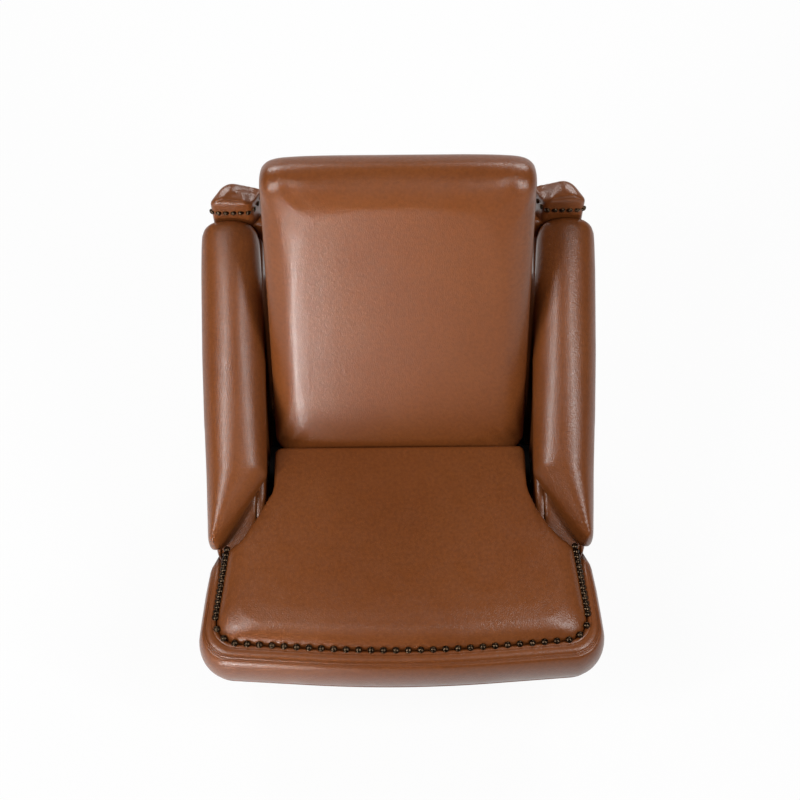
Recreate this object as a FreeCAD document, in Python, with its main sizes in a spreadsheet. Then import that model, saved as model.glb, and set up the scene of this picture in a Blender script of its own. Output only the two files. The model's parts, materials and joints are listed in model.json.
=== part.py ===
"""Push-back recliner: sloping arms, T-shaped seat, reclining back and folding footrest.

Millimetres, +Z up, the front of the chair towards -Y, origin on the floor under the middle of the chair.
Distances named "setback" run backwards from the front of the seat.
"""
import FreeCAD, Part
import math
import os
import re

import Sketcher

SHEET = "sizes"

SIZES = (
    # Whole chair
    ("overall_depth", 862, "front of the seat to the rear of the wings"),
    ("seat_gap", 0.3, "clearance between pieces that only rest on each other"),
    ("pin_play", 0.05, "radial play of a pin in its eye"),
    # Legs
    ("leg_height", 150, "floor to the underside of the side frames"),
    ("leg_top_half", 23, "half the width of a leg at its top"),
    ("leg_foot_half", 14, "half the width of a leg at its foot"),
    ("leg_inset", 36, "leg axis in from the end of the side frame"),
    ("glide_radius", 11, "nylon glide under a leg"),
    ("glide_height", 5, "nylon glide under a leg"),
    ("plate_size", 60, "square leg plate"),
    ("plate_thickness", 3, "square leg plate"),
    # Sides
    ("side_inner", 282, "middle of the chair to the inner face of a side frame"),
    ("side_thickness", 36, "wooden side frame"),
    ("outer_cover_thickness", 44, "padded cover outside a side frame"),
    ("inner_cover_thickness", 18, "padded cover inside a side frame"),
    ("inner_cover_height", 395, "floor to the lower edge of an inner cover"),
    ("cover_softness", 14, "rounding of the outer cover's edges"),
    ("base_setback", 135, "front of the low part of the sides"),
    ("base_height", 352, "top of the low part of the sides"),
    ("rear_rake", 104, "how far the rear edge of a side leans back"),
    # Arms
    ("arm_setback", 258, "front end of the arm pads"),
    ("arm_front_height", 505, "top of an arm pad at its front"),
    ("arm_rear_height", 786, "top of an arm pad at its rear"),
    ("arm_thickness", 66, "arm pad, measured straight down"),
    ("arm_tip_inner", 350, "middle of the chair to the inner side of an arm at its tip"),
    ("arm_full_setback", 386, "where an arm reaches its full width"),
    ("arm_inner_front", 258, "middle of the chair to the inner side of an arm at its full width"),
    ("arm_inner_rear", 268, "middle of the chair to the inner side of an arm, rear"),
    ("arm_outer_front", 374, "middle of the chair to the outer side of an arm at its tip"),
    ("arm_outer_rear", 384, "middle of the chair to the outer side of an arm, rear"),
    ("arm_tip_clearance", 12, "seat cushion to the taper of the arm tips"),
    ("arm_shoulder", 40, "rounding along the top of an arm pad"),
    ("arm_swell", 3, "how far an arm pad swells along its middle"),
    ("arm_end_pull", 9, "how far an arm pad is drawn in at its ends"),
    # Wings
    ("wing_depth", 50, "wing top, front to rear"),
    ("wing_rise", 44, "top of a wing above the rear of the arm"),
    ("wing_inner", 270, "middle of the chair to the inner side of a wing"),
    ("wing_outer", 364, "middle of the chair to the outer side of a wing"),
    ("wing_corner", 36, "rounding of the outer rear corner of a wing"),
    ("wing_softness", 10, "rounding of a wing's top edges"),
    # Stretchers and rear panel
    ("stretcher_thickness", 26, "wooden stretcher"),
    ("stretcher_height", 60, "wooden stretcher"),
    ("front_stretcher_setback", 400, "front face of the front stretcher"),
    ("rear_stretcher_clearance", 10, "rear stretcher to the rear panel"),
    ("dust_cover_thickness", 2, "cloth under the frame"),
    ("dust_cover_clearance", 3, "dust cover to the side frames and the rear panel"),
    ("rear_panel_thickness", 18, "padded panel between the rear posts"),
    ("rear_panel_top", 560, "floor to the top of the rear panel"),
    # Tracks and shoes
    ("track_setback", 262, "front end of a slide track"),
    ("track_length", 286, "slide track"),
    ("track_width", 25, "slide track, across"),
    ("track_height", 36, "slide track, outside"),
    ("track_wall", 3, "slide track sheet"),
    ("track_bottom", 268, "floor to the underside of a track"),
    ("shoe_length", 44, "nylon slide shoe"),
    ("shoe_play", 0.4, "shoe to track, above and below"),
    ("front_shoe_setback", 352, "middle of the front shoes"),
    ("rear_shoe_setback", 498, "middle of the rear shoes"),
    # Seat frame
    ("rail_outer", 240, "middle of the chair to the outer face of a side rail"),
    ("rail_width", 40, "seat side rail"),
    ("rail_height", 36, "seat side rail"),
    ("rail_bottom", 330, "floor to the underside of the side rails"),
    ("rail_setback", 128, "front end of the side rails"),
    ("rail_end", 500, "rear end of the side rails"),
    ("board_thickness", 18, "front board and rear slat"),
    ("slat_width", 58, "rear slat, front to rear"),
    ("webbing_thickness", 3, "elastic webbing"),
    ("webbing_width", 50, "elastic webbing"),
    ("webbing_lap", 34, "webbing lapped on the board it is tacked to"),
    ("webbing_pitch", 84, "spacing of the seat webbing"),
    ("felt_thickness", 6, "deck felt"),
    # Seat upholstery
    ("seat_half", 393, "half the width of the seat at its unrounded front corners"),
    ("ear_half", 372, "half the width of the seat at the rear of its ears"),
    ("ear_setback", 251, "rear of the seat's ears"),
    ("stem_half", 249, "half the width of the seat between the arms"),
    ("seat_depth", 458, "front of the seat to the rear of its cushion"),
    ("front_bow", 26, "how far the middle of the front stands before its corners"),
    ("front_corner", 66, "reach of the front corner rounding"),
    ("border_side", 36, "border outside the nail line, at the sides"),
    ("border_front", 46, "border outside the nail line, at the front"),
    ("border_height", 106, "padded border"),
    ("border_roll", 22, "how far the border is drawn in at its edges"),
    ("cushion_edge", 470, "floor to the edge of the seat cushion"),
    ("cushion_crown", 36, "middle of the seat cushion above its edge"),
    ("waist_rise", 7, "where the cushion starts to widen, above the foot of the arms"),
    ("crown_inset", 74, "width of the seat cushion's crowned rim"),
    # Mechanism plates
    ("steel_thickness", 4, "mechanism plates, links and brackets"),
    ("mech_nose", 138, "front end of a mechanism plate"),
    ("mech_tail", 520, "rear end of a mechanism plate"),
    ("boss_radius", 16, "eye of the back hinge"),
    ("hinge_pin_radius", 6, "back hinge pin"),
    # Back
    ("crease_lap", 4, "how far the seat cushion runs under the curve of the back"),
    ("crease_height", 465, "floor to the lower front edge of the back"),
    ("back_lean", 27.6, "degrees the back leans from upright"),
    ("back_half", 249, "half the width of the back"),
    ("back_length", 572, "lower edge of the back to the middle of its top roll"),
    ("roll_radius", 50, "rolled top of the back"),
    ("back_cushion_thickness", 65, "back cushion below its roll"),
    ("back_crown", 8, "how far the middle of the back stands before its ends"),
    ("back_side_pull", 24, "how far the back cushion is drawn in at its sides"),
    ("stile_width", 36, "wooden stile of the back"),
    ("stile_outer", 232, "middle of the chair to the outer face of a stile"),
    ("stile_top_depth", 26, "stile, front to rear, at its top"),
    ("stile_foot_depth", 82, "stile, front to rear, at its foot"),
    ("stile_foot", 20, "foot of a stile above the lower edge of the back"),
    ("stile_head", 24, "head of a stile below the middle of the roll"),
    ("back_rail_height", 58, "rails between the stiles"),
    ("back_rail_thickness", 22, "rails between the stiles"),
    ("rear_cover_thickness", 14, "cover on the rear of the back"),
    ("back_webbing_pitch", 88, "spacing of the back webbing"),
    ("hinge_behind", 22, "hinge pin behind the lower edge of the back"),
    ("hinge_below", 35, "hinge pin below the lower edge of the back"),
    # Footrest linkage
    ("link_half_width", 11, "link bars"),
    ("link_pin_radius", 5, "pins of the linkage"),
    ("link_gap", 0.5, "clearance between links side by side"),
    ("knee_setback", 185, "upper pivot of the inner links"),
    ("knee_drop", 8, "upper pivot below the side rails"),
    ("inner_link", 200, "inner link, pivot to pivot"),
    ("inner_fold", 36, "degrees the folded inner link hangs below level"),
    ("outer_link", 187, "outer link, pivot to pivot"),
    ("panel_slant", 12.4, "degrees the closed footrest slants"),
    ("panel_half", 276, "half the width of the footrest"),
    ("panel_above", 140, "footrest above its pivot"),
    ("panel_below", 112, "footrest below its pivot"),
    ("panel_reach", 20, "footrest board in front of its pivot"),
    ("panel_board", 15, "footrest board"),
    ("panel_pad", 30, "footrest pad"),
    ("panel_softness", 10, "how far the footrest pad is drawn in at its edges"),
)

SIDES = ((-1, "left"), (1, "right"))
STRAPS_EACH_SIDE = 2
BACK_STRAPS = 5
# The most of a side that one corner's arc may take
ARC_SHARE = 0.46
# How far from the middle the front's long arc runs, as a share of half its width
BOW_SHARE = 0.45
# Height of the fullest part of the back cushion, as a share of its length
BELLY_SHARE = 0.45

NAMES = frozenset(name for name, _, _ in SIZES)
WORD = re.compile(r"[a-z][a-z_0-9]*")

# Places that several pieces share, as expressions of the sizes
FRONT = "(-overall_depth / 2)"
SIDE_OUTER = "(side_inner + side_thickness)"
COVER_OUTER = f"({SIDE_OUTER} + outer_cover_thickness)"
COVER_INNER = "(side_inner - inner_cover_thickness)"
WING_FRONT = "(overall_depth - wing_depth)"
ARM_END = f"({WING_FRONT} - seat_gap)"
ARM_SLOPE = f"((arm_rear_height - arm_front_height) / ({ARM_END} - arm_setback))"
ARM_FOOT = "(arm_front_height - arm_thickness - seat_gap)"
POST_TOP = "(arm_rear_height - arm_thickness - seat_gap)"
WING_TOP = "(arm_rear_height + wing_rise)"
REAR_FOOT = "(overall_depth - rear_rake)"
RAIL_TOP = "(rail_bottom + rail_height)"
BOARD_TOP = f"({RAIL_TOP} + board_thickness)"
WEBBING_TOP = f"({BOARD_TOP} + webbing_thickness)"
FELT_BOTTOM = f"({WEBBING_TOP} + seat_gap)"
CUSHION_BOTTOM = f"({FELT_BOTTOM} + felt_thickness + seat_gap)"
CUSHION_WAIST = "(arm_front_height - arm_thickness + waist_rise)"
PLATE_OUTER = "(rail_outer + steel_thickness)"
INNER_LINK_X = f"({PLATE_OUTER} + link_gap)"
OUTER_LINK_X = f"({INNER_LINK_X} + steel_thickness + link_gap)"
SHOE_HEIGHT = "(track_height - 2 * track_wall - 2 * shoe_play)"
SHOE_BOTTOM = "(track_bottom + track_wall + shoe_play)"
CREASE = "(seat_depth - crease_lap)"
HINGE_Y = f"({CREASE} + hinge_behind)"
HINGE_Z = "(crease_height - hinge_below)"
FRAME_FRONT = "(back_cushion_thickness + seat_gap + webbing_thickness)"
STILE_TOP = "(back_length - stile_head)"
KNEE_Z = "(rail_bottom - knee_drop)"
ELBOW_Y = "(knee_setback + inner_link * cos(inner_fold))"
ELBOW_Z = f"({KNEE_Z} - inner_link * sin(inner_fold))"
TOE_Y = f"({ELBOW_Y} - outer_link)"

doc = FreeCAD.newDocument("recliner")
sheet = doc.addObject("Spreadsheet::Sheet", SHEET)
nodes = []


def fill_sheet():
    """Write every driving size to the sheet, with its alias and what it measures."""
    for row, (name, value, meaning) in enumerate(SIZES, start=1):
        sheet.set(f"A{row}", name)
        sheet.set(f"B{row}", str(value))
        sheet.set(f"C{row}", meaning)
        sheet.setAlias(f"B{row}", name)
    doc.recompute()


def bound(expression):
    """Point the size names in an expression at the sheet."""
    def cell(word):
        name = word.group()
        return f"{SHEET}.{name}" if name in NAMES else name

    return WORD.sub(cell, str(expression))


def measure(expression):
    """Work out an expression of the sizes as a number."""
    value = sheet.evalExpression(bound(expression))
    return float(getattr(value, "Value", value))


def node(piece, label):
    """Name a finished piece and keep it for the hand-over."""
    piece.Label = label
    nodes.append(piece)
    return piece


def place(piece, y=FRONT, z="0", x="0", turn=None):
    """Bind where a piece stands and, about X, how far it is turned in degrees."""
    if turn is not None:
        piece.Placement = FreeCAD.Placement(FreeCAD.Vector(), FreeCAD.Rotation(FreeCAD.Vector(1, 0, 0), 1))
        piece.setExpression("Placement.Rotation.Angle", bound(turn))
    for axis, expression in (("x", x), ("y", y), ("z", z)):
        piece.setExpression(f"Placement.Base.{axis}", bound(expression))


def new_sketch(body, role, lift="0"):
    """Add a sketch on one of a body's own planes, lifted off it by an expression."""
    plane = next(item for item in body.Origin.OriginFeatures if item.Role == role)
    sketch = body.newObject("Sketcher::SketchObject", "profile")
    sketch.AttachmentSupport = [(plane, "")]
    sketch.MapMode = "FlatFace"
    sketch.setExpression("AttachmentOffset.Base.z", bound(lift))
    return sketch


def constrain(sketch, kind, *what, size):
    """Add a dimension to a sketch and bind it."""
    index = sketch.addConstraint(Sketcher.Constraint(kind, *what, measure(size)))
    sketch.setExpression(f"Constraints[{index}]", bound(size))


def add_hole(sketch, across, up, radius):
    """Draw a bound circle in a sketch."""
    centre = FreeCAD.Vector(measure(across), measure(up), 0)
    circle = Part.Circle(centre, FreeCAD.Vector(0, 0, 1), measure(radius))
    index = sketch.addGeometry(circle, False)
    constrain(sketch, "DistanceX", -1, 1, index, 3, size=across)
    constrain(sketch, "DistanceY", -1, 1, index, 3, size=up)
    constrain(sketch, "Radius", index, size=radius)


def draw_outline(sketch, corners):
    """Draw a closed outline of straight sides whose corners are pairs of expressions."""
    count = len(corners)
    points = [FreeCAD.Vector(measure(across), measure(up), 0) for across, up in corners]
    for index in range(count):
        sketch.addGeometry(Part.LineSegment(points[index], points[(index + 1) % count]), False)
    for index in range(count):
        sketch.addConstraint(Sketcher.Constraint("Coincident", index, 2, (index + 1) % count, 1))
    for index, (across, up) in enumerate(corners):
        constrain(sketch, "DistanceX", -1, 1, index, 1, size=across)
        constrain(sketch, "DistanceY", -1, 1, index, 1, size=up)


def pad_body(name, sketch_body, sketch, length):
    """Pad a sketch by a bound length and make the pad the body's tip."""
    pad = sketch_body.newObject("PartDesign::Pad", f"{name}_pad")
    pad.Profile = sketch
    pad.setExpression("Length", bound(length))
    sketch_body.Tip = pad
    return pad


def board(name, corners, start, width, holes=()):
    """Cut a board or plate to an outline seen from the side, from start outwards along X."""
    body = doc.addObject("PartDesign::Body", name)
    sketch = new_sketch(body, "YZ_Plane", start)
    draw_outline(sketch, corners)
    for across, up, radius in holes:
        add_hole(sketch, across, up, radius)
    pad_body(name, body, sketch, width)
    return body


def block_corners(y_low, y_high, z_low, z_high):
    """Return the four corners of an upright rectangle seen from the side."""
    return ((y_low, z_low), (y_high, z_low), (y_high, z_high), (y_low, z_high))


def outward(side, inner, outer):
    """Return where a piece starts along X, on the left or right, and how wide it is."""
    width = f"({outer}) - ({inner})"
    return (inner, width) if side > 0 else (f"-({outer})", width)


def side_board(name, side, corners, inner, outer, holes=()):
    """Cut a board between two distances from the middle, on one side of the chair."""
    start, width = outward(side, inner, outer)
    return board(name, corners, start, width, holes)


def soften(body, side, radius):
    """Round the edges of a body's outermost face."""
    doc.recompute()
    pad = body.Tip
    faces = pad.Shape.Faces
    outermost = max(range(len(faces)), key=lambda index: side * faces[index].CenterOfMass.x)
    fillet = body.newObject("PartDesign::Fillet", f"{body.Name}_rounding")
    fillet.Base = (pad, [f"Face{outermost + 1}"])
    fillet.setExpression("Radius", bound(radius))
    body.Tip = fillet


def rod(name, x_from, x_to, y, z, radius):
    """Turn a round pin that lies along X."""
    pin = doc.addObject("Part::Cylinder", name)
    pin.Placement = FreeCAD.Placement(FreeCAD.Vector(), FreeCAD.Rotation(FreeCAD.Vector(0, 1, 0), 90))
    pin.setExpression("Radius", bound(radius))
    pin.setExpression("Height", bound(f"({x_to}) - ({x_from})"))
    for axis, expression in (("x", x_from), ("y", y), ("z", z)):
        pin.setExpression(f"Placement.Base.{axis}", bound(expression))
    return pin


def group(label, pieces):
    """Keep like pieces together as one node of separate solids."""
    bundle = doc.addObject("Part::Compound", label)
    bundle.Links = pieces
    return node(bundle, label)


def link_bar(name, side, length, inner):
    """Cut a link bar with a round eye at each end, its first eye on the body's own origin."""
    body = doc.addObject("PartDesign::Body", name)
    start, width = outward(side, inner, f"{inner} + steel_thickness")
    sketch = new_sketch(body, "YZ_Plane", start)
    half = measure("link_half_width")
    span = measure(length)
    up = FreeCAD.Vector(0, 0, 1)
    near = Part.Circle(FreeCAD.Vector(0, 0, 0), up, half)
    far = Part.Circle(FreeCAD.Vector(span, 0, 0), up, half)
    quarter = math.pi / 2
    sketch.addGeometry(Part.ArcOfCircle(near, quarter, 3 * quarter), False)
    sketch.addGeometry(Part.LineSegment(FreeCAD.Vector(0, -half, 0), FreeCAD.Vector(span, -half, 0)), False)
    sketch.addGeometry(Part.ArcOfCircle(far, -quarter, quarter), False)
    sketch.addGeometry(Part.LineSegment(FreeCAD.Vector(span, half, 0), FreeCAD.Vector(0, half, 0)), False)
    sketch.addConstraint(Sketcher.Constraint("Coincident", 0, 3, -1, 1))
    sketch.addConstraint(Sketcher.Constraint("PointOnObject", 2, 3, -1))
    for first, second in ((0, 1), (1, 2), (2, 3), (3, 0)):
        sketch.addConstraint(Sketcher.Constraint("Tangent", first, 2, second, 1))
    constrain(sketch, "DistanceX", -1, 1, 2, 3, size=length)
    constrain(sketch, "Radius", 0, size="link_half_width")
    for eye in ("0", length):
        add_hole(sketch, eye, "0", "link_pin_radius + pin_play")
    pad_body(name, body, sketch, width)
    return body


def rounded_wire(corners, lift):
    """Join corners (across, up, reach) by lines and tangent arcs, each point lifted to its place.

    The reach is how far along its two sides a corner's arc starts; it stays under half of each side.
    A corner without reach stays sharp.
    """
    count = len(corners)
    spots = [FreeCAD.Vector(across, up, 0) for across, up, _ in corners]
    arcs = []
    for index, (_, _, reach) in enumerate(corners):
        here = spots[index]
        if not reach:
            arcs.append((here, None, here))
            continue
        behind = spots[index - 1] - here
        ahead = spots[(index + 1) % count] - here
        cut = min(reach, ARC_SHARE * behind.Length, ARC_SHARE * ahead.Length)
        behind.normalize()
        ahead.normalize()
        half_turn = (math.pi - behind.getAngle(ahead)) / 2
        radius = cut / math.tan(half_turn)
        bisector = behind + ahead
        bisector.normalize()
        middle = here + bisector * radius * (1 / math.cos(half_turn) - 1)
        arcs.append((here + behind * cut, middle, here + ahead * cut))
    edges = []
    for index, (start, middle, end) in enumerate(arcs):
        following = arcs[(index + 1) % count][0]
        if middle:
            edges.append(Part.Arc(lift(start), lift(middle), lift(end)).toShape())
        edges.append(Part.LineSegment(lift(end), lift(following)).toShape())
    return Part.Wire(edges)


def inset_corners(corners, distance):
    """Move every side of an outline, given anticlockwise, inwards by a distance."""
    count = len(corners)
    moved = []
    for index, (across, up, reach) in enumerate(corners):
        before = corners[index - 1]
        after = corners[(index + 1) % count]
        come = FreeCAD.Vector(across - before[0], up - before[1], 0).normalize()
        leave = FreeCAD.Vector(after[0] - across, after[1] - up, 0).normalize()
        turn = come.x * leave.y - come.y * leave.x
        shift = (leave - come) * (distance / turn)
        moved.append((across + shift.x, up + shift.y, reach))
    return moved


def level(height):
    """Return a function that lifts a plan point to a height."""
    return lambda spot: FreeCAD.Vector(spot.x, spot.y, height)


def form(label, shape, y=FRONT, z="0", turn=None):
    """Make a padded form from a shape that was worked out from the sheet, and place it."""
    piece = doc.addObject("Part::Feature", label)
    piece.Shape = shape
    place(piece, y=y, z=z, turn=turn)
    return node(piece, label)


def side_outline():
    """Return the corners of a side frame: low front, sloping arm, raked rear post."""
    return (
        ("base_setback", "leg_height"),
        (REAR_FOOT, "leg_height"),
        ("overall_depth - cover_softness", POST_TOP),
        (WING_FRONT, POST_TOP),
        ("arm_setback", ARM_FOOT),
        ("arm_setback", "base_height"),
        ("base_setback", "base_height"),
    )


def inner_cover_outline():
    """Return the corners of the cover inside an arm, above the slide tracks."""
    frame = side_outline()
    return (
        ("arm_setback", "inner_cover_height"),
        (REAR_FOOT, "inner_cover_height"),
        (WING_FRONT, POST_TOP),
        frame[4],
    )


def build_side(side, name):
    """Build one side of the fixed frame: panel, covers, arm pad, wing and slide track."""
    outline = side_outline()
    panel = side_board(f"side_frame_{name}", side, outline, "side_inner", SIDE_OUTER)
    place(node(panel, f"side_frame_{name}"))
    cover = side_board(f"outer_cover_{name}", side, outline, SIDE_OUTER, COVER_OUTER)
    soften(cover, side, "cover_softness")
    place(node(cover, f"outer_cover_{name}"))
    lining = side_board(f"inner_cover_{name}", side, inner_cover_outline(), COVER_INNER, "side_inner")
    place(node(lining, f"inner_cover_{name}"))
    form(f"arm_pad_{name}", arm_shape(side))
    build_wing(side, name)
    build_track(side, name)


def arm_shape(side):
    """Loft an arm pad along its slope: narrow tip, round shoulders, a slight swell, ends drawn in."""
    front = measure("arm_setback")
    rear = measure(ARM_END)
    full = measure("arm_full_setback")
    pull = measure("arm_end_pull")
    stations = (
        (front, pull / 2),
        (full, 0.0),
        (rear - 2 * pull, -measure("arm_swell")),
        (rear, pull),
    )
    return Part.makeLoft([arm_section(side, setback, inset) for setback, inset in stations], True, True)


def arm_section(side, setback, inset):
    """Return the outline across an arm pad at a setback, drawn in by an inset."""
    front = measure("arm_setback")
    full = measure("arm_full_setback")
    rear = measure(ARM_END)

    def between(start, end, first, last):
        share = (setback - start) / (end - start)
        return measure(first) * (1 - share) + measure(last) * share

    height = between(front, rear, "arm_front_height", "arm_rear_height")
    outer = between(front, rear, "arm_outer_front", "arm_outer_rear") - inset
    if setback < full:
        inner = between(front, full, "arm_tip_inner", "arm_inner_front") + inset
    else:
        inner = between(full, rear, "arm_inner_front", "arm_inner_rear") + inset
    bottom = height - measure("arm_thickness")
    top = height - inset
    shoulder = measure("arm_shoulder")
    corners = ((inner, bottom, 0.0), (outer, bottom, 0.0), (outer, top, shoulder), (inner, top, shoulder))
    return rounded_wire(corners, lambda spot: FreeCAD.Vector(side * spot.x, setback, spot.y))


def build_wing(side, name):
    """Build the block that tops a rear post, rounded at its outer rear corner."""
    low = measure("wing_inner")
    high = measure("wing_outer")
    corner = measure("wing_corner")
    soft = measure("wing_softness")
    rim = measure(WING_TOP)
    plan = (
        (low, measure(WING_FRONT), soft),
        (high, measure(WING_FRONT), soft),
        (high, measure("overall_depth"), corner),
        (low, measure("overall_depth"), soft),
    )
    heights = (
        (measure(f"{POST_TOP} + seat_gap"), 0.0),
        (rim - soft, 0.0),
        (rim, soft),
    )
    wires = []
    for height, inset in heights:
        wires.append(rounded_wire(
            inset_corners(plan, inset), lambda spot, up=height: FreeCAD.Vector(side * spot.x, spot.y, up)))
    form(f"wing_{name}", Part.makeLoft(wires, True, True))


def build_track(side, name):
    """Build one slide track: a channel that opens towards the middle of the chair."""
    outer = doc.addObject("Part::Box", f"track_bar_{name}")
    slot = doc.addObject("Part::Box", f"track_slot_{name}")
    corner = "side_inner - track_width" if side > 0 else "-side_inner"
    slot_corner = "side_inner - track_width" if side > 0 else "-side_inner + track_wall"
    bars = (
        (outer, "track_width", "track_height", corner, "track_bottom"),
        (slot, "track_width - track_wall", "track_height - 2 * track_wall", slot_corner,
         "track_bottom + track_wall"),
    )
    for bar, width, height, x, z in bars:
        bar.setExpression("Length", bound(width))
        bar.setExpression("Width", bound("track_length"))
        bar.setExpression("Height", bound(height))
        place(bar, y=f"{FRONT} + track_setback", z=z, x=x)
    channel = doc.addObject("Part::Cut", f"slide_track_{name}")
    channel.Base = outer
    channel.Tool = slot
    node(channel, f"slide_track_{name}")


def tapered_leg(name):
    """Cut a square leg that tapers to its foot, its length along the wedge's own Y."""
    leg = doc.addObject("Part::Wedge", name)
    ends = (("min", "-", "0"), ("max", "", "leg_height - plate_thickness - glide_height"))
    for end, sign, length in ends:
        leg.setExpression(f"Y{end}", bound(length))
        for axis in ("X", "Z"):
            leg.setExpression(f"{axis}{end}", bound(f"{sign}leg_foot_half"))
            leg.setExpression(f"{axis}2{end}", bound(f"{sign}leg_top_half"))
    return leg


def build_legs():
    """Build the four tapered legs, with the plate above and the glide below each."""
    leg_x = f"(side_inner + {COVER_OUTER}) / 2"
    feet = (("front", "base_setback + leg_inset"), ("rear", f"{REAR_FOOT} - leg_inset"))
    plates = []
    glides = []
    for side, name in SIDES:
        for end, setback in feet:
            x = f"{side} * {leg_x}"
            y = f"{FRONT} + {setback}"
            leg = tapered_leg(f"leg_{end}_{name}")
            place(leg, y=y, z="glide_height", x=x, turn="90")
            node(leg, f"leg_{end}_{name}")
            plate = doc.addObject("Part::Box", f"leg_plate_{end}_{name}")
            plate.setExpression("Length", bound("plate_size"))
            plate.setExpression("Width", bound("plate_size"))
            plate.setExpression("Height", bound("plate_thickness"))
            half = "plate_size / 2"
            place(plate, y=f"{y} - {half}", z="leg_height - plate_thickness", x=f"{x} - {half}")
            plates.append(plate)
            glide = doc.addObject("Part::Cylinder", f"glide_{end}_{name}")
            glide.setExpression("Radius", bound("glide_radius"))
            glide.setExpression("Height", bound("glide_height"))
            place(glide, y=y, x=x)
            glides.append(glide)
    group("leg_plates", plates)
    group("glides", glides)


def build_cross_pieces():
    """Build what ties the two sides together: two stretchers and the rear panel."""
    lift = "leg_height"
    rake = f"rear_rake / ({POST_TOP} - leg_height)"
    foot = f"({REAR_FOOT} - rear_panel_thickness - cover_softness)"
    rear_setback = f"({foot} - rear_stretcher_clearance - stretcher_thickness)"
    for end, setback in (("front", "front_stretcher_setback"), ("rear", rear_setback)):
        corners = block_corners(
            setback, f"{setback} + stretcher_thickness", lift, f"{lift} + stretcher_height")
        place(node(board(f"{end}_stretcher", corners, "-side_inner", "2 * side_inner"), f"{end}_stretcher"))
    corners = block_corners(
        "front_stretcher_setback", f"{foot} - dust_cover_clearance", f"{lift} - dust_cover_thickness", lift)
    cloth_half = "(side_inner - dust_cover_clearance)"
    place(node(board("dust_cover", corners, f"-{cloth_half}", f"2 * {cloth_half}"), "dust_cover"))
    head = f"{foot} + (rear_panel_top - leg_height) * {rake}"
    corners = (
        (foot, lift),
        (f"{foot} + rear_panel_thickness", lift),
        (f"{head} + rear_panel_thickness", "rear_panel_top"),
        (head, "rear_panel_top"),
    )
    place(node(board("rear_panel", corners, "-side_inner", "2 * side_inner"), "rear_panel"))


def build_seat_frame():
    """Build the wooden seat frame, its webbing and its felt."""
    for side, name in SIDES:
        corners = block_corners("rail_setback", "rail_end", "rail_bottom", RAIL_TOP)
        rail = side_board(f"seat_rail_{name}", side, corners, "rail_outer - rail_width", "rail_outer")
        place(node(rail, f"seat_rail_{name}"))
    inside = "(rail_outer - rail_width)"
    corners = block_corners("rail_end - rail_width", "rail_end", "rail_bottom", RAIL_TOP)
    place(node(board("seat_rear_rail", corners, f"-{inside}", f"2 * {inside}"), "seat_rear_rail"))
    corners = block_corners("rail_end - slat_width", "rail_end", RAIL_TOP, BOARD_TOP)
    place(node(board("seat_rear_slat", corners, "-rail_outer", "2 * rail_outer"), "seat_rear_slat"))
    outline = inset_corners(head_corners(), measure("seat_gap"))
    face = Part.Face(rounded_wire(outline, level(measure(RAIL_TOP))))
    form("seat_front_board", face.extrude(FreeCAD.Vector(0, 0, measure("board_thickness"))))
    straps = []
    for index in range(-STRAPS_EACH_SIDE, STRAPS_EACH_SIDE + 1):
        corners = block_corners(
            "ear_setback - webbing_lap", "rail_end - slat_width + webbing_lap", BOARD_TOP, WEBBING_TOP)
        strap = board("seat_strap", corners, f"{index} * webbing_pitch - webbing_width / 2", "webbing_width")
        place(strap)
        straps.append(strap)
    group("seat_webbing", straps)
    corners = block_corners(
        "ear_setback - webbing_lap", "seat_depth", FELT_BOTTOM, f"{FELT_BOTTOM} + felt_thickness")
    place(node(board("deck_felt", corners, "-rail_outer", "2 * rail_outer"), "deck_felt"))


def head_plan(side, ear, nose, corner):
    """Return the plan of the seat's head, anticlockwise: straight rear, bowed front, round corners.

    The two front sides meet in the middle in one long arc, whose crown lies on the nose line.
    """
    rear = measure("ear_setback")
    bow = measure("front_bow")
    reach = BOW_SHARE * side
    sag = reach * math.tan(math.atan2(bow, side) / 2)
    small = measure("border_side / 4")
    return [
        (ear, rear, small),
        (-ear, rear, small),
        (-side, nose + bow - sag, corner),
        (0.0, nose - sag, reach),
        (side, nose + bow - sag, corner),
    ]


def head_corners():
    """Return the plan of the cushion's head, inside the border."""
    return head_plan(
        measure("seat_half - border_side"), measure("ear_half - border_side"), measure("border_front"),
        measure("front_corner - border_side / 2"))


def cushion_corners(height):
    """Return the T-shaped plan of the seat cushion at a height, anticlockwise.

    Above the foot of the arms the notch runs out along their slope, at most to the end of their taper.
    """
    head = head_corners()
    stem = measure("stem_half")
    rear = measure("seat_depth")
    climb = max(0.0, height - measure(CUSHION_WAIST)) / measure(ARM_SLOPE)
    reach = measure("arm_full_setback - arm_tip_clearance - ear_setback")
    notch = measure("ear_setback") + min(reach, climb)
    small = measure("border_side / 2")
    return [
        (stem, rear, small),
        (-stem, rear, small),
        (-stem, notch, 0.0),
        head[1],
        head[2],
        head[3],
        head[4],
        head[0],
        (stem, notch, 0.0),
    ]


def build_seat_cushion():
    """Loft the T-shaped seat cushion: drawn-in foot, full sides, crowned top, upright rear."""
    clearance = measure("2 * seat_gap")
    edge = measure("cushion_edge")
    crown = measure("cushion_crown")
    rim = measure("crown_inset")
    foot = measure(CUSHION_BOTTOM)
    rear = measure("seat_depth") - clearance
    heights = (
        (foot, clearance + rim / 12),
        (measure(CUSHION_WAIST), clearance),
        (edge, clearance),
        (edge + crown * 2 / 3, clearance + rim * 2 / 5),
        (edge + crown, clearance + rim),
    )
    wires = []
    for height, inset in heights:
        corners = inset_corners(cushion_corners(height), inset)
        for index in (0, 1):
            across, _, reach = corners[index]
            corners[index] = (across, rear, reach)
        wires.append(rounded_wire(corners, level(height)))
    form("seat_cushion", Part.makeLoft(wires, True, True))


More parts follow.
